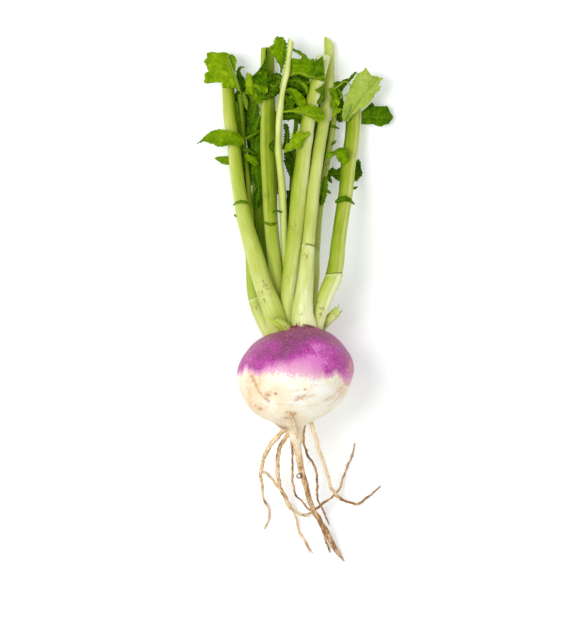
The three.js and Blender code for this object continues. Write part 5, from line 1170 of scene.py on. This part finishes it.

# More torn blades, in rows of the same kind, which fill the gaps between the big ones. The darkest fills,
# strips and the sheath are dark sheets that stand for the shade between the stalks: painted shade.
SCRAPS = [
    ("scrap_in_groove", 40, 0.2, 0.7, 0.4, 3, dict(fold=-0.1, veined=0.1, cup=0.3),
     [[-22.4, 189.4, 15.8], [-21, 196, 14.6], [-19.2, 204, 12.6], [-18.8, 213, 9.4]],
     [[-28, 190.6], [-28.2, 194.4], [-24.4, 198], [-21.2, 202.4], [-19.6, 207.4], [-19.2, 213.1]],
     [[-19, 188.6], [-18.6, 192], [-18.2, 199.8], [-18.2, 207], [-18.4, 213.1]]),
    ("scrap_pale_lobe", 41, 0.84, 0.6, 0.5, 2, dict(rib_width=0.3),
     [[-30.4, 183, 12.6], [-30.2, 190, 14.4], [-30.6, 196.6, 14.2]], [1.8, 2.2, 1.5], [2.4, 2.6, 1.8]),
    ("scrap_fold_olive", 42, 0.28, 0.9, 0.3, 2, dict(cup=0.3),
     [[-28.6, 165.6, 9.8], [-27, 171, 11], [-25.2, 178.4, 11.4]], [1.6, 3.2, 2.6], [2.4, 3.4, 1]),
    ("scrap_grey_fold", 43, 0.0, 0.7, 0.3, 2, dict(material=LEAF_FOLD),
     [[-33.8, 184.4, 9.4], [-32.6, 178.6, 10.6], [-31.4, 173.2, 10]], [0.6, 1.7, 0.5], [0.6, 2, 0.7]),
    ("scrap_groove_side", 44, 0.1, 0.5, 0.6, 1, dict(pitch=1.6, rib_width=0.4),
     [[-17.4, 198.8, 12.6], [-17.6, 194, 13.8], [-18.2, 189, 14.6]], [0.4, 1.4, 1.2], [0.4, 1, 1]),
    ("scrap_gap_lower", 45, 0.1, 1.2, 0.8, 2, dict(cup=0.05),
     [[-9.8, 186, 12.4], [-13, 184.4, 12.6], [-17, 180.8, 13.4]], [1.6, 2.4, 0.6], [3, 3.2, 1.6]),
    ("scrap_gap_upper", 46, 0.22, 1.1, 0.9, 2, {},
     [[-9.2, 193, 17.4], [-12.4, 194.4, 16.6], [-15.6, 192.6, 15.4]], [1, 1.6, 0.8], [1.6, 2.6, 2]),
    ("scrap_top_strip", 47, 0.42, 0.6, 0.9, 1, dict(pitch=1.8, rib_width=0.4),
     [[-3.4, 212.4, 21.6], [0.4, 210.6, 22], [4, 208.4, 22.2], [7.4, 206, 22.4]], [0.6, 1.1, 1.3, 1],
     [0.6, 1, 1.1, 1.4]),
    ("scrap_top_right_fold", 48, 0.3, 0.7, 0.6, 3, dict(rib_width=0.6),
     [[11.4, 195.4, 23.2], [14.6, 200, 24], [17.4, 206.8, 23.4]],
     [[10.4, 196.6], [11.2, 200.4], [13, 203.8], [15.6, 206], [17.5, 207.5]],
     [[12.4, 194], [16, 194.2], [18.8, 195.6], [18.6, 199], [18.2, 203], [18, 206.8]]),
    # A dark sheet behind the centre leaves: painted shade.
    ("scrap_behind_centre", 49, 0.04, 0.8, 0.9, 3, dict(cup=0.02),
     [[-8.4, 179, 15.6], [0, 180, 15], [8.6, 180, 14.6]], [6, 7.4, 6.4], [4.6, 7.4, 5]),
    ("scrap_centre_low", 50, 0.5, 1.2, 0.9, 3, dict(fold=0.2, cup=0.05),
     [[-7.4, 172.6, 21.4], [-5.4, 176.4, 21.2], [-6, 181.6, 20.4]], [0.8, 1.6, 0.8], [5.4, 4.6, 1.4]),
    ("scrap_centre_high", 51, 0.42, 1.4, 1.3, 3, dict(fold=0.2, pitch=1.8),
     [[-5.4, 190.6, 21], [-1, 191.6, 20.8], [3.8, 189.4, 19.8], [7.4, 186.4, 18.4]], [1.6, 2.6, 2.6, 1],
     [2, 3.2, 3, 1]),
    ("scrap_on_shoulder", 52, 0.5, 0.4, 0.3, 2, dict(rib_width=0.4, cup=-0.1),
     [[19.2, 187.4, 15.6], [16.6, 186, 19.6], [12.9, 185.4, 22]],
     [[18.4, 178.8], [17.6, 181], [16.2, 183], [14, 184], [12.9, 185.1]],
     [[19.5, 190.4], [17.8, 188.8], [15.4, 187], [12.9, 185.8]]),
    ("scrap_between_stalks", 53, 0.24, 0.8, 0.8, 2, dict(pitch=1.8),
     [[14.4, 176.6, 20.6], [16.8, 179.4, 19], [18.2, 184, 16.4]], [1, 1.8, 0.8], [1, 2, 1]),
    ("scrap_right_wave", 54, 0.52, 1.2, 0.5, 2, {},
     [[21.8, 186.6, 13.8], [24.8, 183.6, 15.6], [26.4, 180, 14.8], [24.6, 176.4, 13.2]],
     [0.8, 2, 1.4, 0.5], [0.8, 2, 1.8, 0.6]),
    ("scrap_right_crumb", 55, 0.78, 0.8, 1.1, 1, dict(pitch=1.4, rib_width=0.4),
     [[25.2, 180.6, 14.6], [27, 178.4, 15], [27.8, 175.4, 13.8]], [0.7, 1.3, 0.5], [0.7, 1.4, 0.5]),
    ("scrap_right_tab", 56, 0.74, 0.5, 0.3, 1, dict(rib_width=0.5),
     [[26.2, 171.2, 11.6], [28.2, 172.4, 12.4], [30.6, 173.2, 12]], [1, 1.6, 0.4], [1, 1.5, 0.4]),
    ("scrap_right_pale", 57, 0.86, 0.5, 0.5, 2, dict(rib_width=0.5),
     [[24, 168, 11.4], [25.6, 172.6, 12], [25.4, 177.6, 12.4]], [0.6, 1.4, 0.8], [0.6, 1.5, 1.2]),
    ("scrap_right_flake", 58, 0.2, 0.4, 0.5, 1, dict(pitch=1.4, rib_width=0.3),
     [[23.2, 150, 12.6], [24.8, 151.4, 12.4], [26.4, 153.2, 11.6]], [0.5, 0.9, 0.3], [0.5, 0.9, 0.3]),
    ("scrap_right_low", 59, 0.16, 0.6, 0.7, 1, dict(pitch=1.5, rib_width=0.4),
     [[20.2, 129.8, 14.2], [22, 127.6, 13.8], [23.6, 125.4, 12.6]], [0.7, 1.4, 0.4], [0.7, 1.3, 0.4]),
    ("scrap_right_olive", 60, 0.62, 0.5, 0.7, 1, dict(pitch=1.5, rib_width=0.4),
     [[19.4, 120.8, 17.8], [21, 119.8, 17.8], [22.8, 118.4, 16.8]], [0.6, 1.2, 0.4], [0.6, 1.1, 0.4]),
    ("scrap_left_nub", 61, 0.5, 0.3, 0.3, 1, dict(rib_width=0.3),
     [[-37.4, 102.8, 27.4], [-38.4, 103.6, 27], [-39.8, 104.8, 26]], [0.4, 0.8, 0.3], [0.4, 0.8, 0.3]),
    ("scrap_low_twig", 62, 0.06, 0.6, 0.8, 1, dict(pitch=1.5, rib_width=0.3),
     [[-15.2, 106.2, 29.6], [-12, 106.9, 30.4], [-8.6, 106.2, 30.2]], [0.3, 0.9, 0.5], [0.3, 0.7, 0.5]),
    ("scrap_middle_crumb", 63, 0.08, 0.6, 0.7, 1, dict(pitch=1.5, rib_width=0.3),
     [[-12, 120.2, 25], [-10, 119, 25.4], [-8, 117.4, 24.6]], [0.4, 1, 0.4], [0.4, 0.9, 0.4]),
    ("scrap_low_centre", 64, 0.14, 1.1, 1.0, 2, dict(pitch=2.0, rib_width=0.4),
     [[-7, 140.4, 16.6], [-4, 134.6, 15.6], [-2.6, 128.2, 15]], [1.4, 2, 0.8], [1, 1.8, 0.6]),
    ("scrap_left_olive", 65, 0.36, 0.4, 0.2, 1, dict(rib_width=0.5),
     [[-33.4, 153.6, 13.6], [-28.4, 156, 13.8], [-22.4, 160, 12.6]], [0.7, 1, 0.6], [0.6, 0.9, 0.6]),
    ("scrap_left_low", 66, 0.12, 1.0, 0.8, 2, dict(rib_width=0.5),
     [[-34, 147, 12.6], [-29.6, 146, 12.8], [-25.6, 143.4, 12]], [1, 1.6, 0.6], [0.8, 1.4, 0.6]),
    # A dark sheet low in the gap at the left: painted shade.
    ("fill_left", 78, 0.1, 0.8, 0.9, 3, dict(veined=0.1, cup=0.02),
     [[-38.8, 178, 3], [-33, 183, 3], [-27, 186, 3], [-21.6, 187, 3]], [3, 6, 8, 9], [6, 8, 9, 9]),
    ("fold_left_tip", 82, 0.4, 0.3, 0.3, 1, dict(veined=0.3, material=LEAF_FOLD),
     [[-43.9, 207.8, 16.4], [-41.8, 201.8, 18.6], [-39.4, 195.6, 18.6], [-37.2, 189, 16.6],
      [-35.4, 183.4, 12.6]], [0.2, 0.6, 0.7, 0.5, 0.3], [0.3, 0.8, 0.9, 0.6, 0.3]),
    # A dark sheet low behind the centre: painted shade.
    ("fill_centre_low", 83, 0.12, 0.9, 0.9, 3, dict(veined=0.1, cup=0.02),
     [[-8.8, 172.6, 13], [0, 173.4, 13], [7.6, 173, 13.4]], [4, 4.6, 4], [2.6, 3, 2.6]),
    ("fold_inner_left", 84, 0.22, 0.8, 0.8, 2, dict(veined=0.2),
     [[-16.4, 182.6, 16.4], [-19.6, 180.6, 17], [-23.4, 182.6, 16.6], [-26.4, 186.6, 15.4]],
     [0.5, 1.6, 1.2, 0.4], [0.4, 1.2, 1.4, 0.4]),
    ("fold_right_tip", 85, 0.75, 0.3, 0.3, 1, dict(veined=0.3, material=LEAF_FOLD),
     [[31.4, 165.6, 15.6], [32.8, 170.4, 17.6], [35.4, 176.6, 18.4]], [0.8, 1.5, 0.3], [0.4, 0.9, 0.3]),
    # A dark sheet behind the centre leaves: painted shade.
    ("fill_centre", 79, 0.1, 1.2, 0.9, 3, dict(veined=0.2, cup=0.02),
     [[-8, 190, 12], [0, 190.6, 12.4], [9, 190, 12]], [4, 6, 4], [6, 6, 6]),
    ("fill_centre_curl", 80, 0.5, 1.6, 1.1, 4, dict(fold=0.2, pitch=2.0, veined=0.3),
     [[-6.4, 188, 17], [-1, 190.4, 17.6], [5, 188.6, 17.4], [9.6, 190.6, 16.6]], [2, 3, 2.6, 1.4],
     [1.6, 3.4, 3, 1]),
    ("curl_centre_a", 86, 0.7, 1.4, 1.1, 3, dict(fold=0.2, pitch=1.7, veined=0.5),
     [[-5.4, 178.4, 20], [-3, 180.6, 20.8], [0.4, 180.2, 20.4], [2.6, 177.4, 19.6]], [0.6, 1.6, 1.7, 0.5],
     [0.6, 2.2, 1.8, 0.5]),
    ("curl_centre_b", 87, 0.6, 1.2, 1.1, 2, dict(fold=0.24, pitch=1.7, veined=0.5),
     [[3.4, 190.2, 20.2], [6.2, 187.4, 20.4], [7.4, 183.4, 19.6]], [0.5, 1.7, 0.6], [0.5, 1.6, 0.6]),
    ("curl_left", 88, 0.74, 1.0, 1.0, 2, dict(fold=0.2, pitch=1.6, veined=0.4),
     [[-27.4, 189, 15.8], [-24.6, 187.4, 16.4], [-22.6, 184, 16.2]], [0.6, 1.6, 0.5], [0.6, 1.4, 0.5]),
    ("curl_gap", 89, 0.5, 1.0, 1.1, 2, dict(fold=0.2, pitch=1.6, veined=0.3),
     [[-16.6, 189.4, 16.6], [-14, 187.4, 17.2], [-11.4, 188.6, 17.4]], [0.5, 1.4, 0.5], [0.5, 1.3, 0.5]),
    ("curl_right", 90, 0.4, 1.0, 1.0, 2, dict(fold=0.2, pitch=1.6, veined=0.3),
     [[27.2, 186.8, 12.4], [28.6, 183, 12.6], [29.4, 179, 11.6]], [0.7, 1.7, 0.5], [0.7, 1.5, 0.5]),
    # A dark sheet low in the gap at the right: painted shade.
    ("fill_right", 81, 0.08, 0.8, 0.9, 2, dict(veined=0.1, cup=0.02),
     [[26.8, 187, 3], [27.6, 176, 2.6], [27.4, 166, 2]], [1.6, 2.4, 1], [2.4, 2.2, 1]),
    # The strips, sheath and leaf down to the last strip are dark sheets low in the gaps between stalks:
    # painted shade.
    ("strip_left_stalk", 70, 0.16, 0.3, 0.2, 1, dict(rib_width=0.2),
     [[-38.6, 178, 7], [-35.6, 150, 11.6], [-31.8, 115, 18.6], [-28, 94, 24]], [0.7, 1.2, 1.1, 0.4],
     [0.9, 1.4, 1.3, 0.4]),
    ("strip_left_back", 71, 0.1, 0.3, 0.3, 1, dict(rib_width=0.2),
     [[-32.6, 184, 1], [-30.4, 150, 0.9], [-28.6, 124, 0.9]], [2.4, 2.2, 1.4], [1.6, 1.4, 1]),
    ("sheath_left_inner", 72, 0.32, 0.15, 0.05, 2, dict(rib_width=0.2, cup=-0.08),
     [[-25.6, 156, 9.4], [-25.8, 140, 10.8], [-25, 128, 11.4], [-22.6, 118.4, 11.6]], [3, 3.8, 3, 0.6],
     [3, 3, 3.2, 2.2]),
    ("strip_thin_front", 73, 0.12, 0.4, 0.6, 1, dict(pitch=1.8, rib_width=0.2),
     [[-13, 172, 11], [-12.4, 147, 13], [-11.6, 118, 15.4]], [1.1, 1.1, 0.5], [1, 1, 0.4]),
    ("strip_centre_gap", 74, 0.1, 0.3, 0.4, 1, dict(rib_width=0.2),
     [[-4.4, 120.4, 19], [-4.9, 108, 21], [-5.3, 94, 23.4]], [1.7, 1.4, 0.4], [1.5, 1.2, 0.4]),
    ("leaf_behind_thin_front", 75, 0.08, 0.8, 0.9, 2, dict(pitch=1.9, rib_width=0.3),
     [[-5.2, 146, 12], [-4.4, 139, 12.4], [-3.6, 131, 12.6]], [2.4, 2.6, 0.5], [2.2, 2.4, 0.5]),
    ("strip_between_centres", 76, 0.14, 0.2, 0.2, 1, dict(rib_width=0.2),
     [[15.6, 178, 11.6], [11.8, 150, 17], [8.9, 121, 22], [6, 92, 29.4]], [1.2, 1.3, 1.2, 0.5],
     [1.2, 1.3, 1.2, 0.5]),
    ("strip_right_thin", 77, 0.2, 0.3, 0.4, 1, dict(rib_width=0.2),
     [[21.8, 166, 6.4], [19.6, 146, 9.8], [17, 126, 12.8], [15, 108, 16]], [1.2, 1.3, 1.1, 0.5],
     [1.2, 1.3, 1.1, 0.5]),
    ("scrap_crown_spike", 67, 0.5, 0.1, 0.1, 1, dict(rib_width=0.4, material=SCALE),
     [[0.4, 31, 51.6], [0.6, 32.6, 52.4], [0.7, 34.4, 52.8]], [1.1, 0.8, 0.2], [1.1, 0.7, 0.2]),
    ("scrap_crown_left", 68, 0.5, 0.2, 0.3, 1, dict(pitch=1.2, rib_width=0.4, material=SCALE),
     [[-5.2, 31, 50.4], [-2.4, 32.2, 51.6], [0.4, 32.6, 52]], [0.4, 0.6, 0.4], [0.4, 0.6, 0.4]),
    ("scrap_crown_right", 69, 0.5, 0.2, 0.3, 1, dict(pitch=1.2, rib_width=0.4, material=SCALE),
     [[4.6, 33.4, 52], [8.6, 32.8, 51.8], [12.6, 31, 50]], [0.3, 0.6, 0.4], [0.4, 0.6, 0.5]),
]

# Thin curly leaf stalks, torn threads and a root loop, as [name, material, tone, route].
THREADS = [
    ("tendril_right", STALK, 0.4, [
        [25.4, 186.4, 13.6], [27.4, 188, 14], [29.2, 189.3, 14.4], [31.5, 191.2, 15], [33.9, 190.5, 15.2],
        [35.7, 188.2, 15], [35.2, 185.5, 14.8], [32.5, 182.4, 14.4], [29.2, 180.8, 14.2], [27.2, 179, 13.6]]),
    ("thread_on_crown", THREAD, 0.5, [
        [-8.6, 29.6, 52.6], [-10.4, 32.4, 55.6], [-12.6, 34.6, 56.4], [-16, 36.2, 55], [-19, 37.6, 52.6],
        [-23.2, 39.4, 49]]),
    ("fray_left_a", STALK, 0.7, [[-12.6, 33.6, 54], [-13.8, 32.4, 54.2], [-15, 31.4, 53.6]]),
    ("fray_left_b", STALK, 0.6, [[-12.8, 38, 52.6], [-14, 38.6, 52.2], [-15, 38.8, 51.4]]),
    ("fray_right_a", STALK, 0.6, [[26.4, 43.4, 34.4], [27.6, 45, 34.2], [28, 46.8, 33.4]]),
    ("fray_right_b", STALK, 0.4, [[28.4, 41, 34.6], [29.4, 41.8, 34.2], [30, 43, 33.6]]),
    ("fray_snapped_a", STALK, 0.85, [[27.6, 63.4, 37.6], [29.4, 64.4, 37.6], [30.9, 64.8, 36.8]]),
    ("fray_snapped_b", STALK, 0.7, [[27.4, 68, 36.6], [28.6, 67.2, 37], [29.8, 67.6, 36.4]]),
    ("root_loop", ROOT_BROWN, None, [
        [3.8, -61.6, 28.6], [3.9, -63.4, 30], [3, -65.6, 30.6], [1.4, -65.6, 30.4], [0.8, -64.2, 30.2],
        [2, -63, 30.4], [3.6, -63.6, 30.2], [4.6, -65.8, 28.4]]),
]

# ---------- the stage ----------


def build_floor():
    mesh = bpy.data.meshes.new("floor")
    corners = [(-1, -1), (1, -1), (1, 1), (-1, 1)]
    mesh.from_pydata([(x * FLOOR_HALF, y * FLOOR_HALF, 0) for x, y in corners], [], [(0, 1, 2, 3)])
    floor = bpy.data.objects.new("floor", mesh)
    bpy.context.scene.collection.objects.link(floor)
    s = Shader("floor_white", Base_Color=(0.87, 0.9, 0.9, 1), Roughness=0.9, Specular_IOR_Level=0.1,
               Emission_Color=(1, 1, 1, 1), Emission_Strength=0.24)
    mesh.materials.append(s.material)


def build_light(name, place, size, watts):
    """A soft round light, aimed at the scene's origin, which the turnip lies over."""
    data = bpy.data.lights.new(name, "AREA")
    data.shape = "DISK"
    data.size = size
    data.energy = watts
    lamp = bpy.data.objects.new(name, data)
    bpy.context.scene.collection.objects.link(lamp)
    lamp.location = place
    lamp.rotation_euler = (-lamp.location).to_track_quat("-Z", "Y").to_euler()


def build_camera():
    data = bpy.data.cameras.new("camera")
    data.sensor_width = SENSOR
    data.sensor_fit = "AUTO"
    data.lens = SENSOR * CAMERA_DISTANCE / FIELD_HEIGHT
    data.clip_end = 20
    camera = bpy.data.objects.new("camera", data)
    bpy.context.scene.collection.objects.link(camera)
    camera.location = (AIM[0], AIM[1], CAMERA_DISTANCE + FOCUS_HEIGHT)
    bpy.context.scene.camera = camera


def build_world():
    world = bpy.data.worlds.new("world")
    world.use_nodes = True
    world.node_tree.nodes["Background"].inputs["Color"].default_value = (1, 1, 1, 1)
    world.node_tree.nodes["Background"].inputs["Strength"].default_value = WORLD_STRENGTH
    bpy.context.scene.world = world
    bpy.context.scene.view_settings.view_transform = "Standard"


build_camera()
build_floor()
build_world()
build_light("key", place=(-0.58, 0.12, 1.15), size=0.66, watts=8.7)
build_light("fill", place=(0.5, -0.6, 0.9), size=0.9, watts=1.5)
build_bulb()
for seed, stalk in enumerate(STALKS, 1):
    build_stalk(seed=seed, **stalk)
for number, (name, material, route) in enumerate(SIDE_ROOTS):
    build_root(f"turnip_{name}", route, material, number, [name], hairs=HAIRS.get(name, FEW_HAIRS),
               clean=CLEAN.get(name, NOT_CLEAN))
for name, *looks, settings, rib, left, right in BLADES:
    build_blade(f"turnip_{name}", *looks, rib, left, right, replaced=[name], **settings)
for name, *looks, settings, rib, left, right in SCRAPS:
    build_blade(name, *looks, rib, left, right, **settings)
for number, (name, material, tone, route) in enumerate(THREADS):
    widths = THREAD_WIDTH * np.linspace(1, 0.45, len(route))
    rows = [row + [width] for row, width in zip(route, widths.tolist())]
    build_root(name, rows, material, THREAD_SEED + number,
               crook=0.05, sides=10, bumps=0.4, tone=tone)
